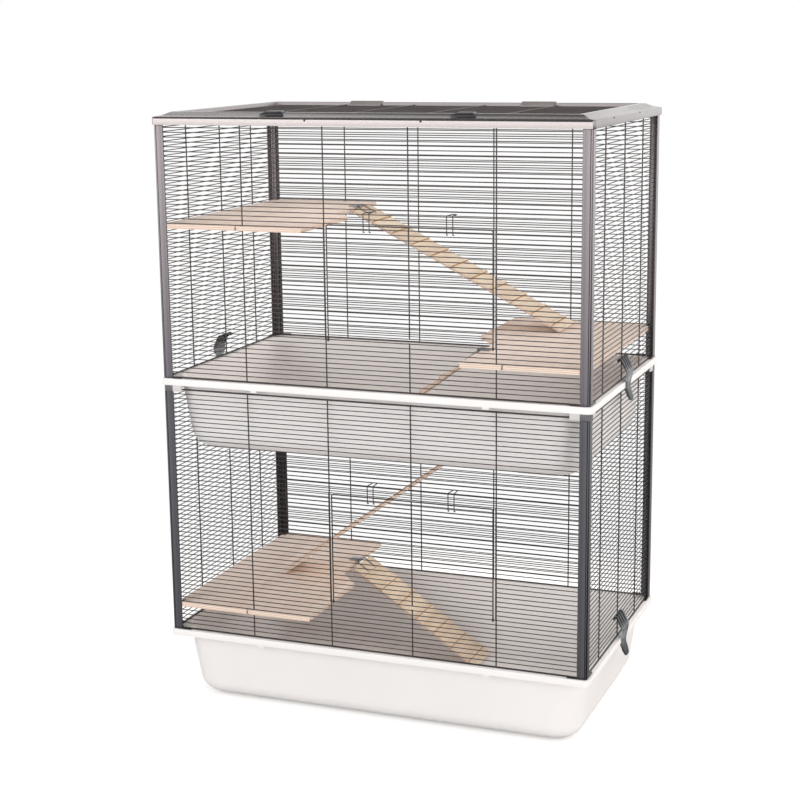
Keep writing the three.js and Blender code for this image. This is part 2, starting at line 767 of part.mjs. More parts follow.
// ================================================================ shelves
// Seen from above, from the rim's front left corner: a board with a notched
// side for the ramp. Its front and back lips pass between two rows, lap over
// the lower one and lock sideways behind an upright.
function shelf(rim, rowAbove, turned) {
  const upright = halfW + frontUprights[0];
  const entry = upright - lockSlotOffset;
  const back = baseDepth - shelfLip;
  const lipStart = postEnd + shelfPostClear;
  const slot = (edge, dir) => {
    const at = (d) => edge + dir * d;
    return [
      [entry - lockSlotWidth / 2, at(0)],
      [entry - lockSlotWidth / 2, at(lockSlotEnd - shelfLip)],
      [upright + uprightWidth / 2 + wireGap, at(lockSlotEnd - shelfLip)],
      [upright + uprightWidth / 2 + wireGap, at(lockSlotFront - shelfLip)],
      [entry + lockSlotWidth / 2, at(lockSlotFront - shelfLip)],
      [entry + lockSlotWidth / 2, at(0)],
    ];
  };
  const plan = [
    [lipStart, shelfLip],
    ...slot(shelfLip, 1),
    [shelfWide, shelfLip],
    [shelfWide, shelfStepStart],
    [shelfNarrow, shelfStepEnd],
    [shelfNarrow, back],
    ...slot(back, -1).reverse(),
    [lipStart, back],
    [lipStart, baseDepth - lipStart],
    [shelfSideClear, baseDepth - lipStart],
    [shelfSideClear, lipStart],
    [lipStart, lipStart],
  ];
  const top = rowZ(rim, rowAbove) - rowWire / 2 - wireGap;
  const placed = plan.map(([x, y]) =>
    (turned ? [halfW - x, halfD - y] : [x - halfW, y - halfD]));
  const board = prismAlongZ(placed, top - shelfThickness, top);
  const rowTop = rowZ(rim, rowAbove - 1) + rowWire / 2 + wireGap;
  const half = rowWire / 2 + wireGap;
  const under = top - shelfThickness - runIn;
  const groove = (y) => bar(-halfW, halfW, y - half, y + half, under, rowTop);
  return {
    top,
    solid: board.subtract(groove(wirePlane - halfD)).subtract(groove(halfD - wirePlane)),
  };
}

const lowShelf = shelf(lowRim, lowShelfRow, false);
const midShelf = shelf(highRim, midShelfRow, true);
const highShelf = shelf(highRim, highShelfRow, false);

// ================================================================ ramps
// A ramp hangs from an eye on a strap. The hinge axis lies beyond the edge
// that carries the strap, and the ramp's lower corner rests on the floor.
function rampPose(edgeX, carrierTop, landing, length, toward) {
  const axisX = edgeX + toward * strapReach;
  const axisZ = carrierTop + seatGap + strapThickness / 2;
  const drop = axisZ - landing - seatGap;
  const under = pinHalf + seatGap + rampBoard;
  const reach = Math.hypot(length, under);
  const angle = Math.asin(drop / reach) - Math.atan2(under, length);
  return { axisX, axisZ, angle, toward, length, edgeX, carrierTop };
}

// Turns a solid drawn level, running along +X from the axis, into its pose.
function hung(solid, pose, y) {
  const turned = solid.rotate([0, (pose.angle * 180) / Math.PI, 0]);
  const faced = pose.toward > 0 ? turned : turned.rotate([0, 0, 180]);
  return faced.translate([pose.axisX, y, pose.axisZ]);
}

function rampBoardSolid(pose, y) {
  const top = -pinHalf - seatGap;
  const end = pose.length;
  const outline = [[rampStart, top - rampBoard], [end, top - rampBoard], [end, top]];
  const first = end - slatPitch / 2;
  for (let x = first; x > rampStart + stapleLeg + slatWidth; x -= slatPitch) {
    outline.push(
      [x + slatWidth / 2, top], [x + slatWidth / 2, top + slatHeight],
      [x - slatWidth / 2, top + slatHeight], [x - slatWidth / 2, top]);
  }
  outline.push([rampStart, top]);
  return hung(prismAlongY(outline, -rampWidth / 2, rampWidth / 2), pose, y);
}

function rampStaple(pose, y) {
  const p = pinHalf;
  const half = stapleWidth / 2;
  return hung(joined([
    bar(-p, p, -half, half, -p, p),
    bar(-p, rampStart + stapleLeg, -half, -half + 2 * p, -p, p),
    bar(-p, rampStart + stapleLeg, half - 2 * p, half, -p, p),
  ]), pose, y);
}

function rampStrap(pose, y) {
  const t = strapThickness / 2;
  const eye = prismAlongY(polygon(0, 0, strapEye), -strapWidth / 2, strapWidth / 2);
  const tongue = bar(-strapReach - strapTongue, 0, -strapWidth / 2, strapWidth / 2, -t, t);
  const hole = prismAlongY(boreOutline(0, 0, 2 * pinHalf), -strapWidth, strapWidth);
  const solid = eye.add(tongue).subtract(hole);
  const faced = pose.toward > 0 ? solid : solid.rotate([0, 0, 180]);
  return faced.translate([pose.axisX, y, pose.axisZ]);
}

const hatchRight = hatchInsetX - halfW;
const hatchMiddleY = halfD - hatchInsetY;
const ramps = {
  high: {
    pose: rampPose(shelfNarrow - halfW, highShelf.top, midShelf.top, longRamp, 1),
    y: halfD - highRampInset,
  },
  mid: {
    pose: rampPose(halfW - shelfNarrow, midShelf.top, trayFloor(highRim), shortRamp, -1),
    y: midRampInset - halfD,
  },
  hatch: {
    pose: rampPose(hatchRight, trayFloor(highRim), lowShelf.top, hatchRamp, -1),
    y: hatchMiddleY,
  },
  low: {
    pose: rampPose(shelfNarrow - halfW, lowShelf.top, trayFloor(lowRim), shortRamp, 1),
    y: halfD - lowRampInset,
  },
};

// ================================================================ side clips
// Comb fingers curl over a row of the side panel. The band bows out over the
// rim, narrows to a neck and ends in a thumb tongue; a ridge behind it snaps
// in under the rim's lip. Its section is given as [inset, height over the rim].
function sideClip(rim, side) {
  const rowHeight = rowZ(rim, clipRow) - rim;
  const curlRadius = (rowWire / 2) * Math.SQRT2 + clipEye + clipBand / 2;
  const curl = Array.from({ length: 5 }, (_, i) => {
    const a = ((i - 0.5) / eyeSides) * 2 * Math.PI;
    return [wirePlane + curlRadius * Math.cos(a), rowHeight + curlRadius * Math.sin(a)];
  });
  const middle = -clipStandOff - clipBand / 2;
  const spine = [
    ...curl,
    [middle - clipBulge, rowHeight / 2],
    [middle - clipBulge / 2, clipBulgeStart],
    [middle, -rimLipHeight],
    [middle - clipBulge / 2, -rimLipHeight - clipFlareStart],
    [middle - clipFlare, -clipBelow],
  ];
  const nose = -rimLipHeight - clipRidgeGap;
  const ridge = [
    [middle, nose],
    [clipRidge - clipStandOff, nose],
    [clipRidge - clipStandOff, nose - clipRidgeHeight],
    [middle, nose - clipRidgeHeight - clipRidgeFoot],
  ];
  const toSide = (outline) => outline.map(([inset, z]) => [side * (halfW - inset), rim + z]);
  const band = joined([ribbon(spine, clipBand), ridge].map((outline) =>
    prismAlongY(toSide(outline), ...across(0, clipWidth))));
  const pitch = clipFinger + clipSlot;
  const comb = Array.from({ length: clipFingers }, (_, i) => {
    const left = (i - clipFingers / 2) * pitch + clipSlot / 2;
    const foot = rim + rowHeight - clipComb;
    const tip = rim + rowHeight + curlRadius + clipBand;
    return [[left, foot], [left, tip], [left + clipFinger, tip], [left + clipFinger, foot]];
  }).flat();
  const outer = comb[comb.length - 1][0];
  const under = [
    [outer, clipShoulder],
    [clipNeck / 2, -clipNeckStart],
    [clipNeck / 2, -clipNeckEnd],
    [clipTongue / 2, -clipTongueDrop],
    [clipTongue / 2 - clipTipTaper, clipTipRise - clipBelow],
    [0, -clipBelow - clipBand],
  ].map(([y, z]) => [y, rim + z]);
  const mirror = under.slice(0, -1).reverse().map(([y, z]) => [-y, z]);
  const face = [...comb, ...under, ...mirror];
  return band.intersect(prismAlongX(face, ...across(side * halfW, 2 * clipReach)));
}

// ================================================================ assembly
addPart('lower_tray', tray(lowRim), 'tray');
const hatchCut = bar(
  hatchRight - hatchWidth, hatchRight,
  ...across(hatchMiddleY, hatchDepth),
  trayFloor(highRim) - trayWall - runIn, trayFloor(highRim) + runIn);
addPart('upper_tray', tray(highRim).subtract(hatchCut), 'tray');

const lowPostTop = highRim - rimThickness - seatGap - capHeight - seatGap;
const highPostTop = frameTop - frameWall - seatGap;
for (const [corner, sx, sy] of cornerSigns) {
  addPart(`lower_post_${corner}`, post(lowRim, lowPostTop, sx, sy), 'moulding');
  addPart(`upper_post_${corner}`, post(highRim, highPostTop, sx, sy), 'moulding');
  addPart(`lower_cap_${corner}`, prismAlongZ(
    atCorner(capPlan, sx, sy), lowPostTop + seatGap, lowPostTop + seatGap + capHeight), 'moulding');
}

for (const [storey, rim] of [['lower', lowRim], ['upper', highRim]]) {
  for (const side of ['front', 'back', 'left', 'right']) {
    const isLong = side === 'front' || side === 'back';
    const bars = wirePanel(
      rim, isLong ? halfW : halfD, isLong ? frontUprights : sideUprights, side === 'front');
    addPart(`${storey}_${side}_panel`, standing(bars, side), 'wire');
  }
  addPart(`${storey}_door`, door(rim), 'wire');
  addPart(`${storey}_door_hook_l`, doorHook(rim, doorMiddle - hookOffset), 'wire');
  addPart(`${storey}_door_hook_r`, doorHook(rim, doorMiddle + hookOffset), 'wire');
  addPart(`${storey}_clip_l`, sideClip(rim, -1), 'clip');
  addPart(`${storey}_clip_r`, sideClip(rim, 1), 'clip');
}

addPart('top_frame', topFrame(), 'topFrame');
addPart('roof_lid', roofLid(), 'wire');
for (const [name, s] of [['l', -1], ['r', 1]]) {
  addPart(`roof_hinge_${name}`, roofHinge(s * roofFittingOffset), 'moulding');
  addPart(`roof_latch_${name}`, roofLatch(s * roofFittingOffset), 'moulding');
}

addPart('shelf_low', lowShelf.solid, 'wood');
addPart('shelf_mid', midShelf.solid, 'wood');
addPart('shelf_high', highShelf.solid, 'wood');
for (const [name, { pose, y }] of Object.entries(ramps)) {
  addPart(`ramp_${name}`, rampBoardSolid(pose, y), 'wood');
  addPart(`ramp_${name}_staple`, rampStaple(pose, y), 'steel');
  addPart(`ramp_${name}_strap`, rampStrap(pose, y), 'steel');
}

export default group;
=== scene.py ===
# %% [markdown]
# # A two-storey wire cage for rats or ferrets
#
# The cage is two moulded trays, wire panels that slide into plastic corner
# posts, a moulded top frame round a wire roof lid, three plywood shelves and
# four slatted ramps. The frame of solids comes from the CAD model and is
# never moved. Each piece here either dresses a solid with a better material
# or stands for it with a finer shape.

# %% Load the frame and keep its size
import functools
import json
import math

import bmesh
import bpy
from mathutils import Matrix, Vector


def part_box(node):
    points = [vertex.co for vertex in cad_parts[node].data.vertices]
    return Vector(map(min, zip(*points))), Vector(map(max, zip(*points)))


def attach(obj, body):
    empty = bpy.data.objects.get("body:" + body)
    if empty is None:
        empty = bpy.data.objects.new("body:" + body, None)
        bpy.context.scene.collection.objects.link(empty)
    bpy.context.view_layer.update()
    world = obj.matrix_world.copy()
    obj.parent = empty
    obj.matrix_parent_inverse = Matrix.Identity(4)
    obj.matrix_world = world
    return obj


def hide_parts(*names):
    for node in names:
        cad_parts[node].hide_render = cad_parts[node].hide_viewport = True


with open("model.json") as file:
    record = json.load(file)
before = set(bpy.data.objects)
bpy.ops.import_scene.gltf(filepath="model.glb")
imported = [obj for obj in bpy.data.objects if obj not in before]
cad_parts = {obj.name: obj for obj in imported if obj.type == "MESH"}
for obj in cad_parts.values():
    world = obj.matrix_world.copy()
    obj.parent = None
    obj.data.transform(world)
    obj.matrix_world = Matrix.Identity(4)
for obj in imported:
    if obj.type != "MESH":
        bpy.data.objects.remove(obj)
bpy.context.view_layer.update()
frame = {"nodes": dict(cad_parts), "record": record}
NODES = frame["nodes"]
BODY_OF = {
    node: body
    for body, names in frame["record"]["behaviour"]["bodies"].items()
    for node in names
}

# %% [markdown]
# ## Levels and fits
#
# The solids give most levels. The rest are the wire rows: every panel has the
# same rows, counted up from the rim that it stands on, and every door and hook
# is placed by a row. These numbers repeat the ones that the solids were built
# from, in metres.

# %% Levels
MM = 0.001
LOWER_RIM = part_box("lower_tray")[1][2]
UPPER_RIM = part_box("upper_tray")[1][2]
STOREY = UPPER_RIM - LOWER_RIM
HALF_W = 390 * MM
HALF_D = 235 * MM
SKIRT_TOP = 1052 * MM
ROW_PITCH = 8.165 * MM
ROW_START = 3.4 * MM
ROWS = 54
ROW_RADIUS = 0.83 * MM
UPRIGHT_RADIUS = 1.2 * MM
BORDER_RADIUS = 1.6 * MM
WIRE_PLANE = 8.4 * MM
DOOR_ROW = 10
DOOR_HEAD = 34


def row_z(rim, row):
    """The height of a row above a rim."""
    return rim + ROW_START + row * ROW_PITCH


print("rims", LOWER_RIM, UPPER_RIM, "top row", row_z(UPPER_RIM, ROWS))

# %% [markdown]
# ## Helpers
#
# Every new piece starts as a primitive or a bent wire, and ends with its place
# in its mesh: the object itself sits at the origin. A few helpers do what a
# hand would do each time, such as clearing the selection, applying a modifier
# or joining pieces.


# %% Selecting and finishing
def select_only(*objects):
    """Leaves edit mode and selects these objects alone."""
    if bpy.context.object and bpy.context.object.mode != "OBJECT":
        bpy.ops.object.mode_set(mode="OBJECT")
    bpy.ops.object.select_all(action="DESELECT")
    for item in objects:
        item.select_set(True)
    bpy.context.view_layer.objects.active = objects[0]


def settle(item):
    """Moves the object's place into its mesh."""
    select_only(item)
    bpy.ops.object.transform_apply(location=True, rotation=True, scale=True)
    return item


def apply_modifier(item, kind, **settings):
    """Adds a modifier with its settings and applies it at once."""
    select_only(item)
    modifier = item.modifiers.new(kind.title(), kind)
    for name, value in settings.items():
        setattr(modifier, name, value)
    bpy.ops.object.modifier_apply(modifier=modifier.name)
    return item


def join(name, items):
    """Makes one piece of several and names it."""
    select_only(*items)
    if len(items) > 1:
        bpy.ops.object.join()
    joined = bpy.context.object
    joined.name = name
    joined.data.name = name
    return joined


def smooth(item, degrees):
    """Shades smooth, apart from edges sharper than an angle."""
    select_only(item)
    bpy.ops.object.shade_smooth_by_angle(angle=math.radians(degrees))
    return item


def placed(source, name, matrix):
    """A copy of a piece with its own mesh, put somewhere else."""
    copy = source.copy()
    copy.data = source.data.copy()
    copy.data.transform(matrix)
    copy.name = name
    copy.data.name = name
    bpy.context.scene.collection.objects.link(copy)
    return copy


def stand_for(item, material, *nodes):
    """The piece replaces CAD nodes, rides on their body and takes a finish."""
    item.data.materials.clear()
    item.data.materials.append(material)
    if material is WIRE:
        item.visible_shadow = False
    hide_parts(*nodes)
    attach(item, BODY_OF[nodes[0]])
    return item


# %% [markdown]
# ## Finishes
#
# Colours are written as the hex codes that one would pick from a screen and
# turned into the linear numbers that the renderer adds up. One function adds a
# node with its settings and links. All patterns read Object coordinates, so
# they stay put when a piece moves.


# %% Colour and node helpers
def linear(code):
    """A hex code as the linear colour that the renderer adds up."""
    channels = [int(code[i:i + 2], 16) / 255 for i in (1, 3, 5)]
    return tuple(
        c / 12.92 if c <= 0.04045 else ((c + 0.055) / 1.055) ** 2.4 for c in channels
    ) + (1.0,)


def fill(tree, socket, value):
    """Gives a socket a value of its own or a link from another socket."""
    if isinstance(value, bpy.types.NodeSocket):
        tree.links.new(value, socket)
    else:
        socket.default_value = value


def add_node(tree, kind, settings=None, **inputs):
    """Adds a node: settings are its own options, inputs are values or sockets."""
    node = tree.nodes.new("ShaderNode" + kind)
    for name, value in (settings or {}).items():
        setattr(node, name, value)
    for name, value in inputs.items():
        fill(tree, node.inputs[name.replace("_", " ")], value)
    return node


def new_finish(name, roughness, metallic=0.0, ior=1.5):
    """An empty finish: its tree, its shader and its Object coordinates."""
    material = bpy.data.materials.new(name)
    material.use_nodes = True
    tree = material.node_tree
    tree.nodes.clear()
    output = tree.nodes.new("ShaderNodeOutputMaterial")
    shader = tree.nodes.new("ShaderNodeBsdfPrincipled")
    shader.inputs["Roughness"].default_value = roughness
    shader.inputs["Metallic"].default_value = metallic
    shader.inputs["IOR"].default_value = ior
    tree.links.new(shader.outputs[0], output.inputs["Surface"])
    coords = tree.nodes.new("ShaderNodeTexCoord")
    return material, tree, shader, coords.outputs["Object"]


def colour_between(tree, factor, low, high, start=0.0, end=1.0):
    """The colour between two hex codes at a pattern's value."""
    ramp = add_node(tree, "ValToRGB", Fac=factor)
    for stop, where, code in zip(ramp.color_ramp.elements, (start, end), (low, high)):
        stop.position = where
        stop.color = linear(code)
    return ramp.outputs["Color"]


def tint(tree, shader, factor, low, high):
    """Colours the surface between two hex codes by a pattern."""
    fill(tree, shader.inputs["Base Color"], colour_between(tree, factor, low, high))


def bumped(tree, shader, height, depth, strength=0.5):
    """Raises the surface by a pattern, to a depth in metres."""
    bump = add_node(tree, "Bump", Height=height, Strength=strength, Distance=depth)
    tree.links.new(bump.outputs["Normal"], shader.inputs["Normal"])


def roughened(tree, shader, factor, low, high):
    """Varies the roughness between two values by a pattern."""
    spread = add_node(tree, "MapRange", Value=factor, To_Min=low, To_Max=high)
    tree.links.new(spread.outputs["Result"], shader.inputs["Roughness"])


def noise(tree, place, scale, detail, **inputs):
    """A noise pattern; the scale is one over its size in metres."""
    pattern = add_node(
        tree, "TexNoise", Vector=place, Scale=scale, Detail=detail, **inputs)
    return pattern.outputs["Fac"]


def sum_of(tree, *terms):
    """Adds up patterns, each with its weight, as one value."""
    total = 0.0
    for pattern, weight in terms:
        total = calculated(tree, "MULTIPLY_ADD", pattern, weight, total)
    return total


def along_axis(tree, place, axis):
    """How far a point lies along an axis, whose length is the pattern's scale."""
    dot = add_node(tree, "VectorMath", {"operation": "DOT_PRODUCT"})
    tree.links.new(place, dot.inputs[0])
    dot.inputs[1].default_value = axis
    return dot.outputs["Value"]


def blended(tree, factor, low, high):
    """Mixes two colours by a factor."""
    mix = add_node(tree, "Mix", {"data_type": "RGBA"})
    sockets = [socket for socket in mix.inputs if socket.enabled]
    for socket, value in zip(sockets, (factor, low, high)):
        fill(tree, socket, value)
    return next(socket for socket in mix.outputs if socket.enabled)


def calculated(tree, operation, *values):
    """One step of arithmetic on patterns and numbers."""
    node = add_node(tree, "Math", {"operation": operation})
    for socket, value in zip(node.inputs, values):
        fill(tree, socket, value)
    return node.outputs["Value"]


def every(tree, *tests):
    """One where all of the tests are one."""
    return functools.reduce(lambda a, b: calculated(tree, "MULTIPLY", a, b), tests)


def some(tree, *tests):
    """One where any of the tests is one."""
    return functools.reduce(lambda a, b: calculated(tree, "MAXIMUM", a, b), tests)


def parts_of(tree, place):
    """A place's X, Y and Z."""
    return add_node(tree, "SeparateXYZ", Vector=place).outputs


# %% [markdown]
# The wire is drawn steel with a dark baked powder coat. A powder coat flows
# into a faint orange peel about a millimetre across, so the gloss is broken
# and the lit side of each wire reads as a soft grey line. The upper storey's
# coat is painted a little paler, as painted light, as its posts are.


# %% Powder-coated steel wire
WIRE_PAINTED_LIGHT_FADE = (UPPER_RIM - 100 * MM, UPPER_RIM + 200 * MM)


def powder_coated_wire():
    """Dark, painted paler above the fade as painted light, with a peel that breaks the
    gloss.
    """
    material, tree, shader, place = new_finish("powder_coated_steel_wire", 0.42)
    peel = noise(tree, place, 900.0, 2.0)
    drift = noise(tree, place, 14.0, 3.0)
    # Painted light: the wire grows paler with height into the upper storey.
    rise = add_node(
        tree, "MapRange", Value=parts_of(tree, place)["Z"],
        From_Min=WIRE_PAINTED_LIGHT_FADE[0], From_Max=WIRE_PAINTED_LIGHT_FADE[1],
        To_Min=-0.15, To_Max=0.35)
    mixed = sum_of(tree, (drift, 0.7), (rise.outputs["Result"], 1.0))
    tint(tree, shader, mixed, "#242020", "#5a5452")
    roughened(tree, shader, peel, 0.34, 0.5)
    bumped(tree, shader, peel, 0.08 * MM)
    return material


# %% [markdown]
# The trays are injection-moulded polypropylene in a warm white. The mould is
# lightly spark-eroded, so the skin has a fine satin grain of about half a
# millimetre. It is drawn at one millimetre, the finest that shows. The melt's
# flow leaves very faint broad clouds in the colour.

# %% Moulded white polypropylene
RIM_WHITE = "#e8e4e2"


def moulded_white():
    """White with faint clouds and a satin grain."""
    material, tree, shader, place = new_finish(
        "moulded_white_polypropylene", 0.46, ior=1.49)
    grain = noise(tree, place, 1000.0, 3.0)
    flow = noise(tree, place, 5.0, 4.0, Roughness=0.6)
    shader.inputs["Specular IOR Level"].default_value = 0.25
    tint(tree, shader, flow, RIM_WHITE, "#f1eeed")
    roughened(tree, shader, grain, 0.4, 0.54)
    bumped(tree, shader, grain, 0.05 * MM, 0.35)
    return material


# %% [markdown]
# The grey pieces are ABS with a metallic pigment, which is half a plastic and
# half a mirror of its surroundings: the same grey looks pale where it faces
# the bright studio and dark where it faces the ceiling. The roof's hinges and
# latches have a fine moulded grain, drawn at just over a millimetre.

# %% Metallic-pigment ABS
ABS_IOR = 1.53
SKIN_DEPTH = 0.03 * MM


def moulded_skin(tree, shader, place, smoothest, roughest):
    """Gives a moulding its grain and returns the clouds in its colour."""
    skin = noise(tree, place, 800.0, 2.0)
    roughened(tree, shader, skin, smoothest, roughest)
    bumped(tree, shader, skin, SKIN_DEPTH, 0.3)
    return noise(tree, place, 22.0, 3.0)


def metallic_abs(name, low, high, roughness, metallic):
    """Clouds between two greys, over a fine grain."""
    material, tree, shader, place = new_finish(name, roughness, metallic, ABS_IOR)
    cloud = moulded_skin(tree, shader, place, roughness - 0.04, roughness + 0.08)
    tint(tree, shader, cloud, low, high)
    return material


# %% [markdown]
# The side clips are glossier. Their combs are in their own shade and the bow
# below them catches the light, so the finish paints that shade and light: it
# goes from dark to pale and back down a clip. Narrow streaks of the melt run
# the same way.

# %% Side clips
CLIP_BOW = LOWER_RIM + 4 * MM
CLIP_BOW_REACH = 17 * MM
STREAKS_PER_METRE = (60.0, 320.0, 22.0)


def clip_with_painted_light(name, dark, pale):
    """Painted light at the bow, palest there, and painted shade at the clip's two ends,
    darkest there.
    """
    material, tree, shader, place = new_finish(name, 0.26, 0.5, ABS_IOR)
    # Painted light and shade: paler towards the bow, darker towards the ends.
    level = calculated(tree, "WRAP", parts_of(tree, place)["Z"], STOREY, 0.0)
    off = calculated(tree, "ABSOLUTE", calculated(tree, "SUBTRACT", level, CLIP_BOW))
    bow = calculated(
        tree, "SUBTRACT", 1.0, calculated(tree, "DIVIDE", off, CLIP_BOW_REACH))
    stretch = add_node(tree, "Mapping", Vector=place, Scale=STREAKS_PER_METRE)
    streak = noise(tree, stretch.outputs["Vector"], 1.0, 3.0)
    tint(tree, shader, sum_of(tree, (bow, 0.8), (streak, 0.5)), dark, pale)
    roughened(tree, shader, streak, 0.2, 0.36)
    return material


# %% [markdown]
# The top frame is two mouldings snapped together. The seam runs round the top
# of the skirt and down its corners, with a small snap hole showing under it
# twice at the front and at the back. The seam and the holes are painted as thin
# dark marks, the shade in the gap and in the holes. Either end has two slots in
# the same line, painted dark the same way. The skirt is the paler moulding,
# with less of the pigment.

# %% Top frame with its seam painted in shade
SEAM_DEPTH = 2.6 * MM
SEAM_REACH = 1.5 * MM
SNAP_PLACE = 102 * MM
SNAP_HALF = 1.9 * MM
SNAP_DEPTH = 5.4 * MM
SLOT_PLACES = (-118 * MM, 59 * MM)
SLOT_HALF = 5 * MM
FRAME_METALLIC = 0.9
SKIRT_METALLIC = 0.2


def frame_with_painted_seam(name, low, high, skirt, seam):
    """low and high are the greys of the top; skirt is a plain colour, and the last is
    the painted shade of the seam, snaps and slots.
    """
    material, tree, shader, place = new_finish(name, 0.2, FRAME_METALLIC, ABS_IOR)
    cloud = moulded_skin(tree, shader, place, 0.16, 0.28)
    parts = parts_of(tree, place)
    beside = calculated(tree, "ABSOLUTE", parts["X"])
    before = calculated(tree, "ABSOLUTE", parts["Y"])
    on_skirt = calculated(tree, "GREATER_THAN", before, HALF_D - SEAM_REACH)
    at_end = calculated(tree, "GREATER_THAN", beside, HALF_W - SEAM_REACH)
    at_painted_seam = calculated(tree, "GREATER_THAN", parts["Z"], SKIRT_TOP - SEAM_DEPTH)
    at_snap = every(
        tree,
        calculated(tree, "COMPARE", beside, SNAP_PLACE, SNAP_HALF),
        calculated(tree, "GREATER_THAN", parts["Z"], SKIRT_TOP - SNAP_DEPTH))
    at_slot = some(tree, *(
        calculated(tree, "COMPARE", parts["Y"], where, SLOT_HALF)
        for where in SLOT_PLACES))
    # Painted shade: the seam, the snap holes and the slots are painted dark.
    dark = some(
        tree,
        every(tree, some(tree, at_painted_seam, at_end, at_snap), on_skirt),
        every(tree, at_slot, at_end, at_painted_seam))
    grey = colour_between(tree, cloud, low, high)
    face = blended(tree, on_skirt, grey, linear(skirt))
    fill(tree, shader.inputs["Base Color"], blended(tree, dark, face, linear(seam)))
    metallic = calculated(
        tree, "MULTIPLY_ADD", on_skirt, SKIRT_METALLIC - FRAME_METALLIC,
        FRAME_METALLIC)
    fill(tree, shader.inputs["Metallic"], metallic)
    return material


# %% [markdown]
# Posts are drawn through a die, which leaves faint lines 1.5 mm apart and a
# hand's breadth long, so their grain is stretched up the piece. Each face runs
# from a round bead on the corner, past a flute, to the groove for the wire.
# The flute and both ends of a face hold shade, so the finish paints them
# darker, with a painted highlight on the bead and painted shading across the
# face. It finds them by how far a point is from the rim's edges.

# %% Drawn posts
POST_START = 4 * MM
POST_END = 21 * MM
DIE_LINES_PER_METRE = (650.0, 650.0, 9.0)
# Painted shade in the corner, the flute and the face's end, and a painted highlight on
# the bead.
POST_PAINTED_SHADE = (
    (0.0, 0.3), (0.06, 0.3), (0.09, 1.1), (0.17, 1.05), (0.19, 0.28), (0.25, 0.28),
    (0.28, 1.05), (0.5, 1.0), (0.74, 0.78), (0.88, 0.92), (0.95, 0.85), (1.0, 0.4))


def across_post(tree, place):
    """Nought at a post's corner, one at the end of a face; and the height."""
    parts = parts_of(tree, place)
    from_side = calculated(
        tree, "SUBTRACT", HALF_W, calculated(tree, "ABSOLUTE", parts["X"]))
    from_front = calculated(
        tree, "SUBTRACT", HALF_D, calculated(tree, "ABSOLUTE", parts["Y"]))
    farther = calculated(tree, "MAXIMUM", from_side, from_front)
    across = add_node(
        tree, "MapRange", Value=farther, From_Min=POST_START, From_Max=POST_END)
    return across.outputs["Result"], parts["Z"]


def drawn_post(name, foot, head, levels):
    """foot and head are the colours at the two levels, in metres: painted shade at the
    foot, painted light at the head.
    """
    material, tree, shader, place = new_finish(name, 0.22, 0.8, ABS_IOR)
    across, height = across_post(tree, place)
    band = add_node(tree, "ValToRGB", Fac=across)
    stops = band.color_ramp.elements
    while len(stops) < len(POST_PAINTED_SHADE):
        stops.new(0.5)
    for stop, (where, shade) in zip(stops, POST_PAINTED_SHADE):
        stop.position = where
        stop.color = (shade, shade, shade, 1.0)
    # Painted light and shade: the post is darker at the foot and paler at the head.
    rise = add_node(
        tree, "MapRange", Value=height, From_Min=levels[0], From_Max=levels[1])
    grey = colour_between(tree, rise.outputs["Result"], foot, head)
    shaded = add_node(tree, "VectorMath", {"operation": "MULTIPLY"})
    fill(tree, shaded.inputs[0], band.outputs["Color"])
    fill(tree, shaded.inputs[1], grey)
    fill(tree, shader.inputs["Base Color"], shaded.outputs["Vector"])
    stretch = add_node(tree, "Mapping", Vector=place, Scale=DIE_LINES_PER_METRE)
    skin = noise(tree, stretch.outputs["Vector"], 1.0, 2.0)
    roughened(tree, shader, skin, 0.18, 0.32)
    bumped(tree, shader, skin, SKIN_DEPTH, 0.3)
    return material


# %% [markdown]
# The caps under the upper tray are grey over the posts, and their arms, which
# reach on under the rim, are white like it.


# %% Caps
PAST_POST = 0.99


def two_tone_cap(name, low, high, arm):
    """low and high are the greys over a post; arm is the colour past it."""
    material, tree, shader, place = new_finish(name, 0.3, 0.3, ABS_IOR)
    cloud = noise(tree, place, 120.0, 3.0)
    past_post = calculated(
        tree, "GREATER_THAN", across_post(tree, place)[0], PAST_POST)
    fill(tree, shader.inputs["Base Color"], blended(
        tree, past_post, colour_between(tree, cloud, low, high), linear(arm)))
    roughened(tree, shader, cloud, 0.26, 0.4)
    return material


# %% [markdown]
# Shelves and ramps are unvarnished birch plywood. The face veneer has long
# fine grain about 2 mm apart, with a few broad darker bands, and the cut edge
# shows the veneers, 1.6 mm thick, in turn light and dark. Which way is up on a
# board is given to the finish, so a sloping ramp has its grain too. A thin brown
# line of painted shade lies under each of a ramp's slats, where its lower side
# faces down.

# %% Birch plywood
GRAIN_PER_METRE = 520.0
GRAIN_LENGTH_PER_METRE = 22.0
BAND_SCALE = 0.09
VENEER = 1.6 * MM
SLAT_PITCH = 43 * MM
SLAT_SHADE_SHARE = 1.5 * MM / SLAT_PITCH
SLAT_SHADE_UNDER = 0.01
SLAT_SHADE_BROWN = "#b8946f"


def slat_shade_lines(tree, place, colour, down, foot):
    """Paints a line of shade below each slat; foot is how far down the lowest slat
    ends.
    """
    steps = along_axis(tree, place, down / SLAT_PITCH)
    part = calculated(tree, "FRACT", calculated(
        tree, "SUBTRACT", steps, foot / SLAT_PITCH - SLAT_SHADE_UNDER))
    # Painted shade: a thin brown line along the lower side of each slat.
    line = calculated(tree, "LESS_THAN", part, SLAT_SHADE_SHARE)
    return blended(tree, line, colour, linear(SLAT_SHADE_BROWN))


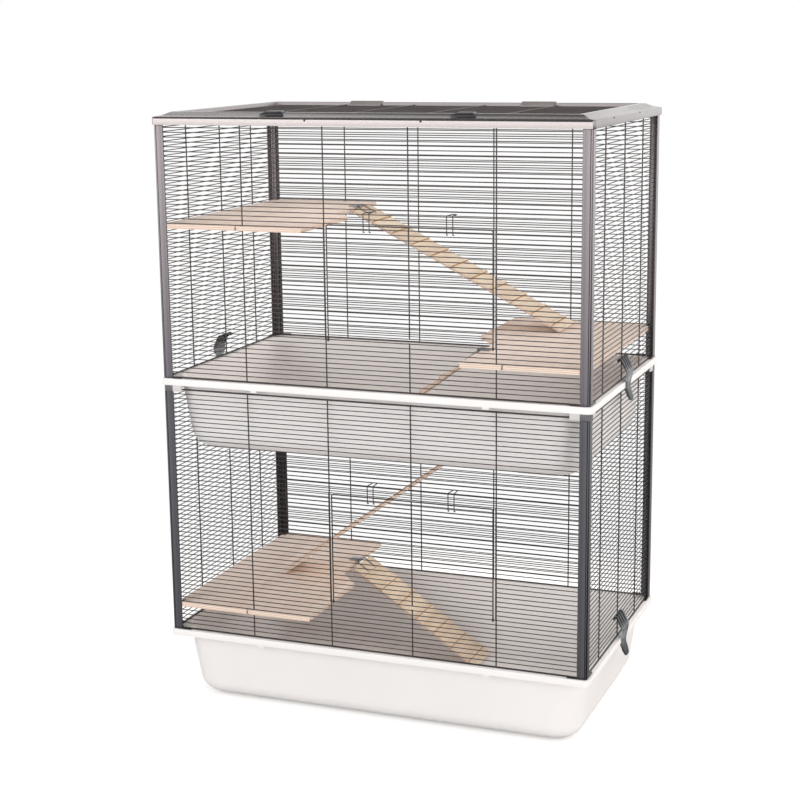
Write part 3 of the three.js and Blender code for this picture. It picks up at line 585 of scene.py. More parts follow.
def birch_plywood(name, along, up, light, dark, slats=None):
    """along is the way the grain runs and up is the board's normal."""
    material, tree, shader, place = new_finish(name, 0.62)
    along = Vector(along).normalized()
    up = Vector(up).normalized()
    board = add_node(
        tree, "CombineXYZ",
        X=along_axis(tree, place, along * GRAIN_LENGTH_PER_METRE),
        Y=along_axis(tree, place, up.cross(along) * GRAIN_PER_METRE),
        Z=along_axis(tree, place, up * GRAIN_PER_METRE)).outputs["Vector"]
    grain = noise(tree, board, 1.0, 4.0, Roughness=0.62)
    bands = noise(tree, board, BAND_SCALE, 2.0)
    mixed = sum_of(tree, (grain, 0.5), (bands, 0.55))
    face = colour_between(tree, mixed, dark, light, 0.36, 0.64)
    layer = calculated(tree, "FRACT", along_axis(tree, place, up / (2 * VENEER)))
    edge = colour_between(tree, layer, "#e8d8cd", "#d3b49c", 0.45, 0.6)
    normal = add_node(tree, "TexCoord").outputs["Normal"]
    facing = calculated(tree, "ABSOLUTE", along_axis(tree, normal, up))
    is_face = add_node(tree, "MapRange", Value=facing, From_Min=0.5, From_Max=0.8)
    colour = blended(tree, is_face.outputs["Result"], edge, face)
    if slats:
        colour = slat_shade_lines(tree, place, colour, *slats)
    fill(tree, shader.inputs["Base Color"], colour)
    roughened(tree, shader, grain, 0.52, 0.74)
    bumped(tree, shader, grain, 0.12 * MM, 0.5)
    return material


# %% [markdown]
# Straps and staples are zinc-plated steel: bright, slightly blue, and broken
# up by the plating's fine crystals, drawn a millimetre across.


# %% Zinc-plated steel
def zinc_plate():
    """Crystals in two bright greys."""
    material, tree, shader, place = new_finish("zinc_plated_steel", 0.32, metallic=1.0)
    crystals = noise(tree, place, 700.0, 2.0)
    tint(tree, shader, crystals, "#8e9298", "#c4c8cd")
    roughened(tree, shader, crystals, 0.24, 0.42)
    return material


# %% Make the finishes
WIRE = powder_coated_wire()
WHITE = moulded_white()
# One material in a painted lit copy for the upper posts and a painted shaded copy for
# the lower posts.
UPPER_POST = drawn_post(
    "drawn_metallic_abs_painted_lit", "#757177", "#b2a9ac", (UPPER_RIM, UPPER_RIM + 400 * MM))
LOWER_POST = drawn_post(
    "drawn_metallic_abs_painted_shade", "#525156", "#656469", (LOWER_RIM, UPPER_RIM))
FRAME_ABS = frame_with_painted_seam(
    "moulded_pale_metallic_abs", "#aaa3a3", "#b7b0b0", skirt="#ddd4d3", seam="#383434")
HINGE_ABS = metallic_abs("moulded_grey_metallic_abs", "#8f8887", "#a09998", 0.3, 0.3)
DARK_ABS = metallic_abs("moulded_dark_metallic_abs", "#454346", "#565457", 0.26, 0.7)
CAP_ABS = two_tone_cap("moulded_cap_abs", "#6a686c", "#8a878a", RIM_WHITE)
CLIP_ABS = clip_with_painted_light("moulded_streaked_abs_painted_light", "#303236", "#b4babd")
ZINC = zinc_plate()
BIRCH = birch_plywood(
    "birch_plywood_shelf", (0, 1, 0), (0, 0, 1), light="#f0dfd4", dark="#e2cdbe")
print("finishes", len(bpy.data.materials))

# %% [markdown]
# ## Wire
#
# A wire that runs straight is a thin cylinder of eight sides, and a row of
# them is one cylinder and an array, as they are all alike. A wire that bends,
# such as a panel's border, a door's frame or a hook, is a curve with its
# corners rounded, given thickness and turned into a mesh.

# %% Straight and bent wires
WIRE_SIDES = 8
CORNER_STEPS = 5
CORNER_SHARE = 0.45


def straight(start, end, radius):
    """One wire between two points."""
    start, end = Vector(start), Vector(end)
    along = end - start
    turn = along.to_track_quat("Z", "Y").to_euler()
    bpy.ops.mesh.primitive_cylinder_add(
        vertices=WIRE_SIDES, radius=radius, depth=along.length,
        location=(start + end) / 2, rotation=turn)
    return settle(bpy.context.object)


def repeated(item, count, step):
    """The same piece again and again, a step apart."""
    if count > 1:
        apply_modifier(
            item, "ARRAY", count=count, use_relative_offset=False,
            use_constant_offset=True, constant_offset_displace=step)
    return item


def rounded(points, radius, closed):
    """Cuts each corner of a path with a short round of the given radius."""
    out = []
    count = len(points)
    for i, point in enumerate(points):
        point = Vector(point)
        if not closed and i in (0, count - 1):
            out.append(point)
            continue
        before = Vector(points[i - 1]) - point
        after = Vector(points[(i + 1) % count]) - point
        reach = min(radius, before.length * CORNER_SHARE, after.length * CORNER_SHARE)
        a = point + before.normalized() * reach
        b = point + after.normalized() * reach
        for k in range(CORNER_STEPS + 1):
            t = k / CORNER_STEPS
            out.append(a * (1 - t) ** 2 + point * 2 * t * (1 - t) + b * t ** 2)
    return out


def bent(points, radius, corner, closed=False, roundness=3):
    """A wire bent along a path."""
    bpy.ops.curve.primitive_nurbs_path_add(location=(0, 0, 0))
    wire = bpy.context.object
    wire.data.splines.clear()
    path = rounded(points, corner, closed) if corner else [Vector(p) for p in points]
    spline = wire.data.splines.new("POLY")
    spline.points.add(len(path) - 1)
    for at, point in zip(spline.points, path):
        at.co = (*point, 1.0)
    spline.use_cyclic_u = closed
    wire.data.dimensions = "3D"
    wire.data.bevel_depth = radius
    wire.data.bevel_resolution = roundness - 1
    wire.data.use_fill_caps = True
    select_only(wire)
    bpy.ops.object.convert(target="MESH")
    return bpy.context.object


# %% [markdown]
# ## Panels
#
# A plain panel is a border, 53 rows and its uprights, welded just behind the
# rows. It is made once for the long sides and once for the short ones, in the
# lower storey, and copied. The panel stands in the plane y = front; a copy is
# turned or moved into place.

# %% A plain panel at the front, in the lower storey
WELD = 0.15 * MM
UPRIGHT_BACK = ROW_RADIUS + UPRIGHT_RADIUS - WELD
BORDER_INSET = 18 * MM
BORDER_CORNER = 5 * MM
WIRE_SMOOTH = 50
FRONT_PLANE = -HALF_D + WIRE_PLANE
LOW_BORDER = LOWER_RIM + 1.9 * MM
HIGH_BORDER = row_z(LOWER_RIM, ROWS)


def border(half):
    """The stout wire round a panel."""
    return bent(
        [(-half, FRONT_PLANE, LOW_BORDER), (half, FRONT_PLANE, LOW_BORDER),
         (half, FRONT_PLANE, HIGH_BORDER), (-half, FRONT_PLANE, HIGH_BORDER)],
        BORDER_RADIUS, BORDER_CORNER, closed=True)


def rows(x0, x1, first, last):
    """The rows from one number to another, across part of the front."""
    z = row_z(LOWER_RIM, first)
    wire = straight((x0, FRONT_PLANE, z), (x1, FRONT_PLANE, z), ROW_RADIUS)
    return repeated(wire, last - first + 1, (0, 0, ROW_PITCH))


def upright(x, z0, z1):
    """A wire that stands behind the rows."""
    y = FRONT_PLANE + UPRIGHT_BACK
    return straight((x, y, z0), (x, y, z1), UPRIGHT_RADIUS)


def plain_panel(name, half, pitch, count):
    """A panel with no door, with its uprights a pitch apart."""
    first = -pitch * (count - 1) / 2
    posts = repeated(upright(first, LOW_BORDER, HIGH_BORDER), count, (pitch, 0, 0))
    pieces = [border(half), rows(-half, half, 1, ROWS - 1), posts]
    return smooth(join(name, pieces), WIRE_SMOOTH)


LONG_HALF = HALF_W - BORDER_INSET
SHORT_HALF = HALF_D - BORDER_INSET
FRONT_PITCH = 151 * MM
SIDE_PITCH = 129 * MM
long_panel = plain_panel("long_panel", LONG_HALF, FRONT_PITCH, 4)
short_panel = plain_panel("short_panel", SHORT_HALF, SIDE_PITCH, 3)
print("faces in a long panel", len(long_panel.data.polygons))

# %% [markdown]
# The front panel has the door opening: its rows are cut between two uprights,
# and its third upright stops at the rows below and above the door. The jamb
# wires lie in the panel's plane, where the cut rows end.

# %% The front panel
DOOR_LEFT = -FRONT_PITCH / 2
DOOR_RIGHT = FRONT_PITCH * 1.5
DOOR_MIDDLE = (DOOR_LEFT + DOOR_RIGHT) / 2
SILL = row_z(LOWER_RIM, DOOR_ROW)
HEAD = row_z(LOWER_RIM, DOOR_HEAD)


def jamb(x):
    """A wire down one side of the door opening, where the cut rows end."""
    return straight(
        (x, FRONT_PLANE, SILL - ROW_RADIUS), (x, FRONT_PLANE, HEAD + ROW_RADIUS),
        UPRIGHT_RADIUS)


front_panel = smooth(join("front_panel", [
    border(LONG_HALF),
    rows(-LONG_HALF, LONG_HALF, 1, DOOR_ROW),
    rows(-LONG_HALF, LONG_HALF, DOOR_HEAD, ROWS - 1),
    rows(-LONG_HALF, DOOR_LEFT, DOOR_ROW + 1, DOOR_HEAD - 1),
    rows(DOOR_RIGHT, LONG_HALF, DOOR_ROW + 1, DOOR_HEAD - 1),
    jamb(DOOR_LEFT),
    jamb(DOOR_RIGHT),
    upright(-FRONT_PITCH * 1.5, LOW_BORDER, HIGH_BORDER),
    upright(DOOR_LEFT, LOW_BORDER, HIGH_BORDER),
    upright(DOOR_RIGHT, LOW_BORDER, HIGH_BORDER),
    upright(DOOR_MIDDLE, LOW_BORDER, SILL + ROW_RADIUS),
    upright(DOOR_MIDDLE, HEAD - ROW_RADIUS, HIGH_BORDER),
]), WIRE_SMOOTH)

# %% Put the panels round both storeys
HALF_TURN = Matrix.Rotation(math.pi, 4, "Z")
QUARTER = Matrix.Rotation(-math.pi / 2, 4, "Z")
SIDE_SHIFT = Matrix.Translation((HALF_D - HALF_W, 0, 0))
PLACES = {
    "front": (front_panel, Matrix.Identity(4)),
    "back": (long_panel, HALF_TURN),
    "left": (short_panel, SIDE_SHIFT @ QUARTER),
    "right": (short_panel, HALF_TURN @ SIDE_SHIFT @ QUARTER),
}
STOREYS = (("lower", 0.0), ("upper", STOREY))
for storey, rise in STOREYS:
    for side, (source, matrix) in PLACES.items():
        name = f"{storey}_{side}_panel"
        lifted = Matrix.Translation((0, 0, rise)) @ matrix
        stand_for(placed(source, name + "_wire", lifted), WIRE, name)
for source in (front_panel, long_panel, short_panel):
    bpy.data.objects.remove(source)

# %% [markdown]
# ## Doors
#
# A door's frame is one wire. It starts in an eye curled round the row that it
# turns on, jogs back into the door's plane, runs up and over, and ends in the
# other eye. The rows and one upright are welded inside it.

# %% The lower door, copied to the upper storey
DOOR_HALF = FRONT_PITCH - 5 * MM
DOOR_WIRE = 1.2 * MM
DOOR_GAP = 0.6 * MM
DOOR_TOP = HEAD - ROW_RADIUS - DOOR_GAP - DOOR_WIRE
DOOR_CORNER = 4 * MM
DOOR_SHOULDER = 20 * MM
EYE = ROW_RADIUS + 0.3 * MM + DOOR_WIRE
JOG_OUT = 0.6 * EYE
JOG_RISE = 3.4 * MM
JOG_END = 6.5 * MM
EYE_START = 50
EYE_STEP = 23
EYE_STEPS = 11


def eye_path(x):
    """From the free end of the curl, round the row, to the door's plane."""
    points = []
    for step in range(EYE_STEPS):
        angle = math.radians(EYE_START - step * EYE_STEP)
        points.append((
            x, FRONT_PLANE + EYE * math.cos(angle), SILL + EYE * math.sin(angle)))
    points.append((x, FRONT_PLANE - JOG_OUT, SILL + JOG_RISE))
    points.append((x, FRONT_PLANE, SILL + JOG_END))
    return points


left_side = eye_path(DOOR_MIDDLE - DOOR_HALF)
right_side = eye_path(DOOR_MIDDLE + DOOR_HALF)[::-1]
door_frame = bent(
    left_side
    + rounded([
        (DOOR_MIDDLE - DOOR_HALF, FRONT_PLANE, DOOR_TOP - DOOR_SHOULDER),
        (DOOR_MIDDLE - DOOR_HALF, FRONT_PLANE, DOOR_TOP),
        (DOOR_MIDDLE + DOOR_HALF, FRONT_PLANE, DOOR_TOP),
        (DOOR_MIDDLE + DOOR_HALF, FRONT_PLANE, DOOR_TOP - DOOR_SHOULDER),
    ], DOOR_CORNER, False)
    + right_side,
    DOOR_WIRE, 0)
door = smooth(join("door", [
    door_frame,
    rows(DOOR_MIDDLE - DOOR_HALF, DOOR_MIDDLE + DOOR_HALF, DOOR_ROW + 1, DOOR_HEAD - 1),
    upright(DOOR_MIDDLE, row_z(LOWER_RIM, DOOR_ROW + 1) - ROW_RADIUS, DOOR_TOP),
]), WIRE_SMOOTH)
for storey, rise in STOREYS:
    stand_for(
        placed(door, f"{storey}_door_wire", Matrix.Translation((0, 0, rise))),
        WIRE, f"{storey}_door")
bpy.data.objects.remove(door)
print("door top", round(DOOR_TOP, 4))

# %% [markdown]
# ## Door hooks
#
# Each hook is one bent wire: a bar inside the cage, two arms that lie over a
# row of the panel, two legs down the front of the door, and two short tails
# turned in under a door row.

# %% Bend one hook and copy it
HOOK_WIRE = 0.9 * MM
HOOK_PLANE = FRONT_PLANE - 2.45 * MM
HOOK_HALF = 5.35 * MM
HOOK_TIP = 4.1 * MM
HOOK_REACH = 24.1 * MM
HOOK_TAIL = 4.9 * MM
HOOK_OFFSET = 73 * MM
HOOK_CORNER = 2.6 * MM
HOOK_SMOOTH = 60
ABOVE_TAIL_ROW = 3.35 * MM
ABOVE_REST_ROW = 2.15 * MM
tail_z = row_z(LOWER_RIM, DOOR_HEAD - 2) + ABOVE_TAIL_ROW
rest_z = row_z(LOWER_RIM, DOOR_HEAD + 2) + ABOVE_REST_ROW
one_side = [
    (HOOK_HALF, HOOK_PLANE + HOOK_TAIL, tail_z),
    (HOOK_HALF, HOOK_PLANE, tail_z),
    (HOOK_HALF, HOOK_PLANE, rest_z),
    (HOOK_TIP, HOOK_PLANE + HOOK_REACH, rest_z),
]
other_side = [(-x, y, z) for x, y, z in reversed(one_side)]
hook = smooth(bent(one_side + other_side, HOOK_WIRE, HOOK_CORNER), HOOK_SMOOTH)
for storey, rise in STOREYS:
    for side, sign in (("l", -1), ("r", 1)):
        where = Matrix.Translation((DOOR_MIDDLE + sign * HOOK_OFFSET, 0, rise))
        stand_for(
            placed(hook, f"{storey}_hook_{side}_wire", where),
            WIRE, f"{storey}_door_hook_{side}")
bpy.data.objects.remove(hook)
print("hook rests at", round(rest_z, 4))

# %% [markdown]
# ## Roof lid
#
# The lid is the same grid laid flat, with four wires over it from front to
# back and a stouter border that the hinges and latches close round. It lets
# the light of the sky past, as well as that of the lamps.

# %% Weld the lid
LID_RISE = 4.3 * MM
LID_INSET = 41.2 * MM
LID_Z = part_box("roof_hinge_l")[0][2] + LID_RISE
LID_HALF_W = HALF_W - LID_INSET
LID_HALF_D = HALF_D - LID_INSET
LID_RADIUS = 1.3 * MM
LID_CORNER = 6 * MM
LID_WELD = 0.1 * MM
LID_ROWS = 46
LID_UPRIGHTS = 138 * MM
lid_border = bent(
    [(-LID_HALF_W, -LID_HALF_D, LID_Z), (LID_HALF_W, -LID_HALF_D, LID_Z),
     (LID_HALF_W, LID_HALF_D, LID_Z), (-LID_HALF_W, LID_HALF_D, LID_Z)],
    LID_RADIUS, LID_CORNER, closed=True, roundness=4)
lid_pitch = 2 * LID_HALF_D / (LID_ROWS + 1)
lid_rows = repeated(
    straight(
        (-LID_HALF_W, lid_pitch - LID_HALF_D, LID_Z),
        (LID_HALF_W, lid_pitch - LID_HALF_D, LID_Z), ROW_RADIUS),
    LID_ROWS, (0, lid_pitch, 0))
over = LID_Z + ROW_RADIUS + UPRIGHT_RADIUS - LID_WELD
lid_uprights = repeated(
    straight(
        (-1.5 * LID_UPRIGHTS, -LID_HALF_D, over),
        (-1.5 * LID_UPRIGHTS, LID_HALF_D, over), UPRIGHT_RADIUS),
    4, (LID_UPRIGHTS, 0, 0))
lid = join("roof_lid_wire", [lid_border, lid_rows, lid_uprights])
smooth(lid, WIRE_SMOOTH)
stand_for(lid, WIRE, "roof_lid")
lid.visible_diffuse = False

# %% [markdown]
# ## Trays
#
# A tray is a deep basin with a flat rim round it and a short lip turned down
# at the rim's edge. The basin is a block with its upright edges rounded, drawn
# in towards the floor and rounded again there. A smaller block of the same
# kind hollows it out. The rim is a plate with the same basin cut through.

# %% A block with a rounded belly
CORNER_SEGMENTS = 12
BELLY_SEGMENTS = 10
OVERLAP = 1 * MM
WALL_LEAN = 0.13


def edges_where(item, test):
    """Selects the edges whose two ends pass a test, in edit mode."""
    select_only(item)
    bpy.ops.object.mode_set(mode="EDIT")
    bpy.ops.mesh.select_mode(type="EDGE")
    bpy.ops.mesh.select_all(action="DESELECT")
    mesh = bmesh.from_edit_mesh(item.data)
    for edge in mesh.edges:
        edge.select_set(test(*(v.co for v in edge.verts)))
    bmesh.update_edit_mesh(item.data)


def block(half_x, half_y, z0, z1, corner, segments):
    """A block with rounded upright edges."""
    bpy.ops.mesh.primitive_cube_add(
        size=1, location=(0, 0, (z0 + z1) / 2), scale=(2 * half_x, 2 * half_y, z1 - z0))
    item = settle(bpy.context.object)
    edges_where(item, lambda a, b: abs(a.z - b.z) > 0.5 * (z1 - z0))
    bpy.ops.mesh.bevel(offset=corner, segments=segments, affect="EDGES")
    bpy.ops.object.mode_set(mode="OBJECT")
    return item


def basin(inset, rim, depth, corner, belly):
    """A block that narrows towards its floor, with a round belly."""
    half_x, half_y = HALF_W - inset, HALF_D - inset
    floor = rim - depth
    top = rim + OVERLAP
    item = block(half_x, half_y, floor, top, corner, CORNER_SEGMENTS)
    drawn = WALL_LEAN * (top - floor)
    edges_where(item, lambda a, b: max(a.z, b.z) < floor + OVERLAP)
    bpy.ops.transform.resize(
        value=(1 - drawn / half_x, 1 - drawn / half_y, 1),
        center_override=(0, 0, floor))
    bpy.ops.mesh.bevel(offset=belly, segments=BELLY_SEGMENTS, affect="EDGES")
    bpy.ops.object.mode_set(mode="OBJECT")
    return item


def combine(item, other, operation):
    """Adds another solid to this one or cuts it out."""
    apply_modifier(item, "BOOLEAN", object=other, operation=operation, solver="EXACT")
    bpy.data.objects.remove(other)
    return item


# %% Mould one tray at the lower rim
WALL = 2.6 * MM
RIM_PLATE = 3 * MM
LIP_DEPTH = 11.5 * MM
LIP_WALL = 2.2 * MM
TRAY_DEPTH = 131 * MM
RIM_CORNER = 9 * MM
RIM_SEGMENTS = 6
BASIN_INSET = 12.6 * MM
BASIN_CORNER = 52 * MM
BELLY_OUTER = 29.9 * MM
BELLY_INNER = 27.6 * MM
FOOT = (37 * MM, 23 * MM, 3 * MM)
FOOT_CORNER = 8 * MM
FOOT_PLACE = (282 * MM, 151 * MM)
LUG = (6 * MM, 0.9 * MM)
LUG_LEVELS = (LOWER_RIM - 14.9 * MM, LOWER_RIM - 10.5 * MM)
LUG_PLACE = (211 * MM, HALF_D - 1.1 * MM)
LUG_CORNER = 0.4 * MM
TRAY_EDGE = 0.7 * MM
TRAY_EDGE_ANGLE = 50
TRAY_SMOOTH = 32


def tray_shell():
    """The rim with its lip, and the basin hung from it."""
    lip = LOWER_RIM - LIP_DEPTH
    shell = block(HALF_W, HALF_D, lip, LOWER_RIM, RIM_CORNER, RIM_SEGMENTS)
    under = block(
        HALF_W - LIP_WALL, HALF_D - LIP_WALL, lip - OVERLAP, LOWER_RIM - RIM_PLATE,
        RIM_CORNER - LIP_WALL, RIM_SEGMENTS)
    combine(shell, under, "DIFFERENCE")
    outer = basin(
        BASIN_INSET, LOWER_RIM - OVERLAP, TRAY_DEPTH - OVERLAP,
        BASIN_CORNER, BELLY_OUTER)
    combine(shell, outer, "UNION")
    inner = basin(
        BASIN_INSET + WALL, LOWER_RIM + OVERLAP, TRAY_DEPTH + OVERLAP - WALL,
        BASIN_CORNER - WALL, BELLY_INNER)
    return combine(shell, inner, "DIFFERENCE")


def at_four(shell, place, make):
    """Adds the same small block at four places, mirrored both ways."""
    for sign_x in (-1, 1):
        for sign_y in (-1, 1):
            added = make()
            added.data.transform(
                Matrix.Translation((sign_x * place[0], sign_y * place[1], 0)))
            combine(shell, added, "UNION")


tray = tray_shell()
at_four(tray, FOOT_PLACE, lambda: block(
    FOOT[0], FOOT[1], 0, FOOT[2] + OVERLAP, FOOT_CORNER, 5))
at_four(tray, LUG_PLACE, lambda: block(*LUG, *LUG_LEVELS, LUG_CORNER, 2))
apply_modifier(
    tray, "BEVEL", width=TRAY_EDGE, segments=2, limit_method="ANGLE",
    angle_limit=math.radians(TRAY_EDGE_ANGLE))
upper_tray = placed(tray, "upper_tray_moulding", Matrix.Translation((0, 0, STOREY)))
tray.name = "lower_tray_moulding"
print("tray faces", len(tray.data.polygons), tray.dimensions)

# %% Cut the ramp hatch in the upper tray's floor
HATCH_HALF = (56 * MM, 46 * MM)
HATCH_LEVELS = (UPPER_RIM - 140 * MM, UPPER_RIM - 120 * MM)
HATCH_CORNER = 6 * MM
HATCH_PLACE = (63 * MM, 24 * MM, 0)
hatch = block(*HATCH_HALF, *HATCH_LEVELS, HATCH_CORNER, 6)
hatch.data.transform(Matrix.Translation(HATCH_PLACE))
combine(upper_tray, hatch, "DIFFERENCE")
for item, node in ((tray, "lower_tray"), (upper_tray, "upper_tray")):
    stand_for(smooth(item, TRAY_SMOOTH), WHITE, node)
print("hatch cut, faces", len(upper_tray.data.polygons))

# %% [markdown]
# ## Softened mouldings and boards
#
# Many solids already have the right outline, but a knife-sharp edge catches no
# light. A copy of each is cleaned to whole faces and its edges are rounded a
# little, by a radius that suits the material: half a millimetre and more on a
# thick moulding, less on drawn posts, clips, sawn plywood and sheet steel.


# %% Round the edges of a copy
SAME_POINT = 0.02 * MM
SAME_FACE_ANGLE = 1.5
SOFT_SMOOTH = 38
EDGE_RADIUS = {
    "post": 0.3 * MM, "cap": 0.6 * MM, "frame": 1.1 * MM, "hinge": 0.6 * MM,
    "latch": 0.5 * MM, "clip": 0.35 * MM, "shelf": 0.35 * MM, "ramp": 0.3 * MM,
    "staple": 0.6 * MM, "strap": 0.15 * MM,
}


def softened(node, width, material, segments=2, degrees=30, widen=1.0):
    """A copy of a solid with round edges; widen stretches it sideways."""
    source = NODES[node]
    item = source.copy()
    item.data = source.data.copy()
    item.parent = None
    item.matrix_world = Matrix.Identity(4)
    for key in list(item.keys()):
        del item[key]
    item.name = node + "_soft"
    bpy.context.scene.collection.objects.link(item)
    item.hide_render = False
    select_only(item)
    if item.data.has_custom_normals:
        bpy.ops.mesh.customdata_custom_splitnormals_clear()
    bpy.ops.object.mode_set(mode="EDIT")
    bpy.ops.mesh.select_all(action="SELECT")
    bpy.ops.mesh.remove_doubles(threshold=SAME_POINT)
    bpy.ops.mesh.dissolve_limited(angle_limit=math.radians(SAME_FACE_ANGLE))
    lowest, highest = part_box(node)
    bpy.ops.transform.resize(
        value=(1, widen, 1), center_override=(Vector(lowest) + Vector(highest)) / 2)
    bpy.ops.object.mode_set(mode="OBJECT")
    apply_modifier(
        item, "BEVEL", width=width, segments=segments, limit_method="ANGLE",
        angle_limit=math.radians(degrees))
    smooth(item, SOFT_SMOOTH)
    return stand_for(item, material, node)


for corner in ("fl", "fr", "bl", "br"):
    softened(f"lower_post_{corner}", EDGE_RADIUS["post"], LOWER_POST)
    softened(f"upper_post_{corner}", EDGE_RADIUS["post"], UPPER_POST)
    softened(f"lower_cap_{corner}", EDGE_RADIUS["cap"], CAP_ABS)
softened("top_frame", EDGE_RADIUS["frame"], FRAME_ABS, segments=3, degrees=20)
for side in ("l", "r"):
    softened(f"roof_hinge_{side}", EDGE_RADIUS["hinge"], HINGE_ABS)
    softened(f"roof_latch_{side}", EDGE_RADIUS["latch"], DARK_ABS)
    for storey, _ in STOREYS:
        softened(f"{storey}_clip_{side}", EDGE_RADIUS["clip"], CLIP_ABS)
for shelf in ("low", "mid", "high"):
    softened(f"shelf_{shelf}", EDGE_RADIUS["shelf"], BIRCH)
print("softened pieces done")

# %% [markdown]
# Each ramp's slope is read from its solid: the board's long straight edge
# tells which way its grain runs and which way is up, and its highest points
# tell where the slats are. The real boards are a little wider than the solids,
# and the one in the hatch has just room to pass.


# %% Ramps, straps and staples
def slope_of(node):
    """The direction down the board, from the solid's longest edge."""
    mesh = NODES[node].data
    longest = max(
        (mesh.vertices[a].co - mesh.vertices[b].co for a, b in mesh.edge_keys),
        key=lambda v: v.length if abs(v.y) < 1 * MM else 0)
    down = longest.normalized()
    return down if down.z < 0 else -down


def lowest_slat(node, down, up):
    """How far down the slope the last slat ends."""
    points = [v.co for v in NODES[node].data.vertices]
    crest = max(point.dot(up) for point in points)
    return max(point.dot(down) for point in points if point.dot(up) > crest - 0.2 * MM)


SOLID_WIDTH = 78 * MM
BOARD_WIDTH = {"high": 92 * MM, "mid": 90 * MM, "hatch": 84 * MM, "low": 86 * MM}
for ramp, board_width in BOARD_WIDTH.items():
    down = slope_of(f"ramp_{ramp}")
    up = Vector((0, 1, 0)).cross(down)
    up = up if up.z > 0 else -up
    foot = lowest_slat(f"ramp_{ramp}", down, up)
    veneer = birch_plywood(
        f"birch_plywood_ramp_{ramp}", (0, 1, 0), up, "#ead8c3", "#d3bca2", (down, foot))
    softened(
        f"ramp_{ramp}", EDGE_RADIUS["ramp"], veneer, widen=board_width / SOLID_WIDTH)
    softened(f"ramp_{ramp}_staple", EDGE_RADIUS["staple"], ZINC)
    softened(f"ramp_{ramp}_strap", EDGE_RADIUS["strap"], ZINC)
    print(ramp, "slope", round(math.degrees(math.asin(-down.z)), 1))

# %% [markdown]
# ## Stage, light and camera
#
# A wide white floor keeps the soft shadow near the cage and runs out to plain
# white, as a paper sweep does. Reflections see the studio's walls instead,
# white round the horizon, with a dark ceiling above 30 degrees, which gives
# the top frame's slopes their dark band, and a dark floor in front, which
# makes the posts darker towards the foot. The lamps stay at a plain level, so
# that a colour comes out about as it is written. The thin wires cast no
# shadow, because in a tent of light theirs would be washed out.

# %% Floor
FLOOR_SIZE = 40
FLOOR_GLOW = 0.3
SWEEP_START = 0.45
SWEEP_END = 0.95
WHITE_LIGHT = (1, 1, 1, 1)


def mixed_shaders(tree, factor, first, second):
    """The second shader where the factor is one."""
    mix = add_node(tree, "MixShader", Fac=factor)
    fill(tree, mix.inputs[1], first.outputs[0])
    fill(tree, mix.inputs[2], second.outputs[0])
    return mix


def white_floor():
    """Paper near the cage, which the camera sees fade out to plain white."""
    material = bpy.data.materials.new("white_studio_floor")
    material.use_nodes = True
    tree = material.node_tree
    tree.nodes.clear()
    output = add_node(tree, "OutputMaterial")
    paper = add_node(tree, "BsdfDiffuse", Color=linear("#f2f1f0"))
    glow = add_node(tree, "Emission", Color=WHITE_LIGHT, Strength=FLOOR_GLOW)
    near = add_node(tree, "AddShader")
    fill(tree, near.inputs[0], paper.outputs[0])
    fill(tree, near.inputs[1], glow.outputs[0])
    far = add_node(tree, "Emission", Color=WHITE_LIGHT, Strength=1.0)
    place = add_node(tree, "TexCoord").outputs["Object"]
    reach = add_node(tree, "VectorMath", {"operation": "LENGTH"}, Vector=place)
    fade = add_node(
        tree, "MapRange", {"interpolation_type": "SMOOTHSTEP"},
        Value=reach.outputs["Value"], From_Min=SWEEP_START, From_Max=SWEEP_END)
    swept = mixed_shaders(tree, fade.outputs["Result"], near, far)
    seen = add_node(tree, "LightPath").outputs["Is Camera Ray"]
    floor_shader = mixed_shaders(tree, seen, paper, swept)
    fill(tree, output.inputs["Surface"], floor_shader.outputs[0])
    return material


bpy.ops.mesh.primitive_plane_add(size=FLOOR_SIZE, location=(0, 0, 0))
floor = bpy.context.object
floor.name = "studio_floor"
floor.data.materials.append(white_floor())
floor.visible_glossy = False


# %% Sky
SKY_LIGHT = 0.7
CEILING = (0.42, 0.55)
CEILING_LIGHT = 0.06
GROUND = (-0.3, -0.06)
GROUND_LIGHT = 0.1


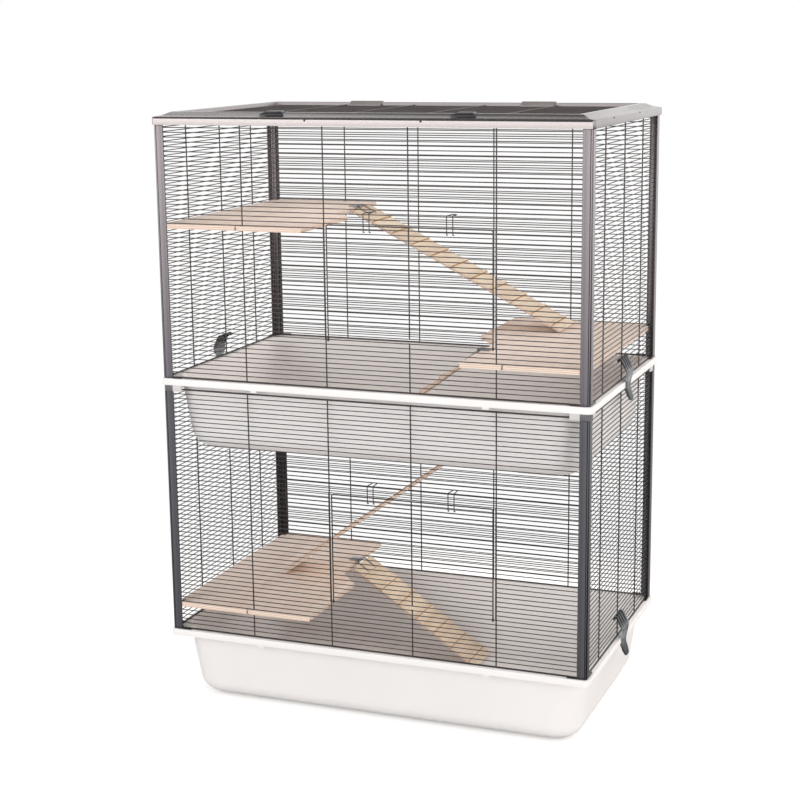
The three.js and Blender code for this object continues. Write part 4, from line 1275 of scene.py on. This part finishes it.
def studio_sky():
    """The light that fills shade, what gloss mirrors, and what the camera sees."""
    world = bpy.data.worlds.new("studio_sky")
    world.use_nodes = True
    tree = world.node_tree
    tree.nodes.clear()
    output = add_node(tree, "OutputWorld")
    path = add_node(tree, "LightPath")
    height = parts_of(tree, add_node(tree, "TexCoord").outputs["Generated"])["Z"]
    ceiling = add_node(
        tree, "MapRange", {"interpolation_type": "SMOOTHSTEP"}, Value=height,
        From_Min=CEILING[0], From_Max=CEILING[1], To_Min=1.0, To_Max=CEILING_LIGHT)
    ground = add_node(
        tree, "MapRange", Value=height,
        From_Min=GROUND[0], From_Max=GROUND[1], To_Min=GROUND_LIGHT, To_Max=1.0)
    walls = calculated(
        tree, "MULTIPLY", ceiling.outputs["Result"], ground.outputs["Result"])
    lit = add_node(tree, "Background", Color=WHITE_LIGHT, Strength=SKY_LIGHT)
    mirrored = add_node(tree, "Background", Color=WHITE_LIGHT, Strength=walls)
    backdrop = add_node(tree, "Background", Color=WHITE_LIGHT, Strength=1.0)
    reflected = mixed_shaders(tree, path.outputs["Is Glossy Ray"], lit, mirrored)
    whole = mixed_shaders(tree, path.outputs["Is Camera Ray"], reflected, backdrop)
    fill(tree, output.inputs["Surface"], whole.outputs[0])
    return world


bpy.context.scene.world = studio_sky()


# %% Lamps
WARM = (1.0, 0.94, 0.89)
MIDDLE = Vector((0, 0, 0.5))


def soft_lamp(name, place, size, power, colour=(1, 1, 1)):
    """A square softbox that faces the middle of the cage."""
    bpy.ops.object.light_add(type="AREA", location=place)
    lamp = bpy.context.object
    lamp.name = name
    lamp.data.size = size
    lamp.data.energy = power
    lamp.data.color = colour
    aim = MIDDLE - Vector(place)
    lamp.rotation_euler = aim.to_track_quat("-Z", "Y").to_euler()
    lamp.visible_glossy = False


soft_lamp("key_softbox", (-2.0, -3.2, 1.7), 2.4, 54)
soft_lamp("fill_softbox", (3.5, -1.7, 1.4), 2.6, 46)
soft_lamp("top_softbox", (0.2, 0.6, 4.0), 3.0, 32, WARM)
soft_lamp("back_softbox", (1.8, 2.8, 2.2), 3.0, 66, WARM)

# %% [markdown]
# The camera stands where the photograph was taken from, worked out from the
# rims, posts and rows.

# %% Camera
YAW, PITCH, ROLL = -0.3716, 0.213, -0.0114
LENS = 76.6
SENSOR_WIDTH = 36
EYE_POINT = Vector((1.0684, -2.8193, 1.1890))
ahead = Vector((
    math.sin(YAW) * math.cos(PITCH), math.cos(YAW) * math.cos(PITCH), -math.sin(PITCH)))
level_right = Vector((math.cos(YAW), -math.sin(YAW), 0))
level_up = level_right.cross(ahead)
right = math.cos(ROLL) * level_right + math.sin(ROLL) * level_up
upward = -math.sin(ROLL) * level_right + math.cos(ROLL) * level_up
pose = Matrix((right, upward, -ahead)).transposed().to_4x4()
bpy.ops.object.camera_add(location=EYE_POINT)
camera = bpy.context.object
camera.matrix_world = Matrix.Translation(EYE_POINT) @ pose
camera.data.lens = LENS
camera.data.sensor_width = SENSOR_WIDTH
camera.data.clip_end = 100
bpy.context.scene.camera = camera
bpy.context.scene.view_settings.view_transform = "Standard"
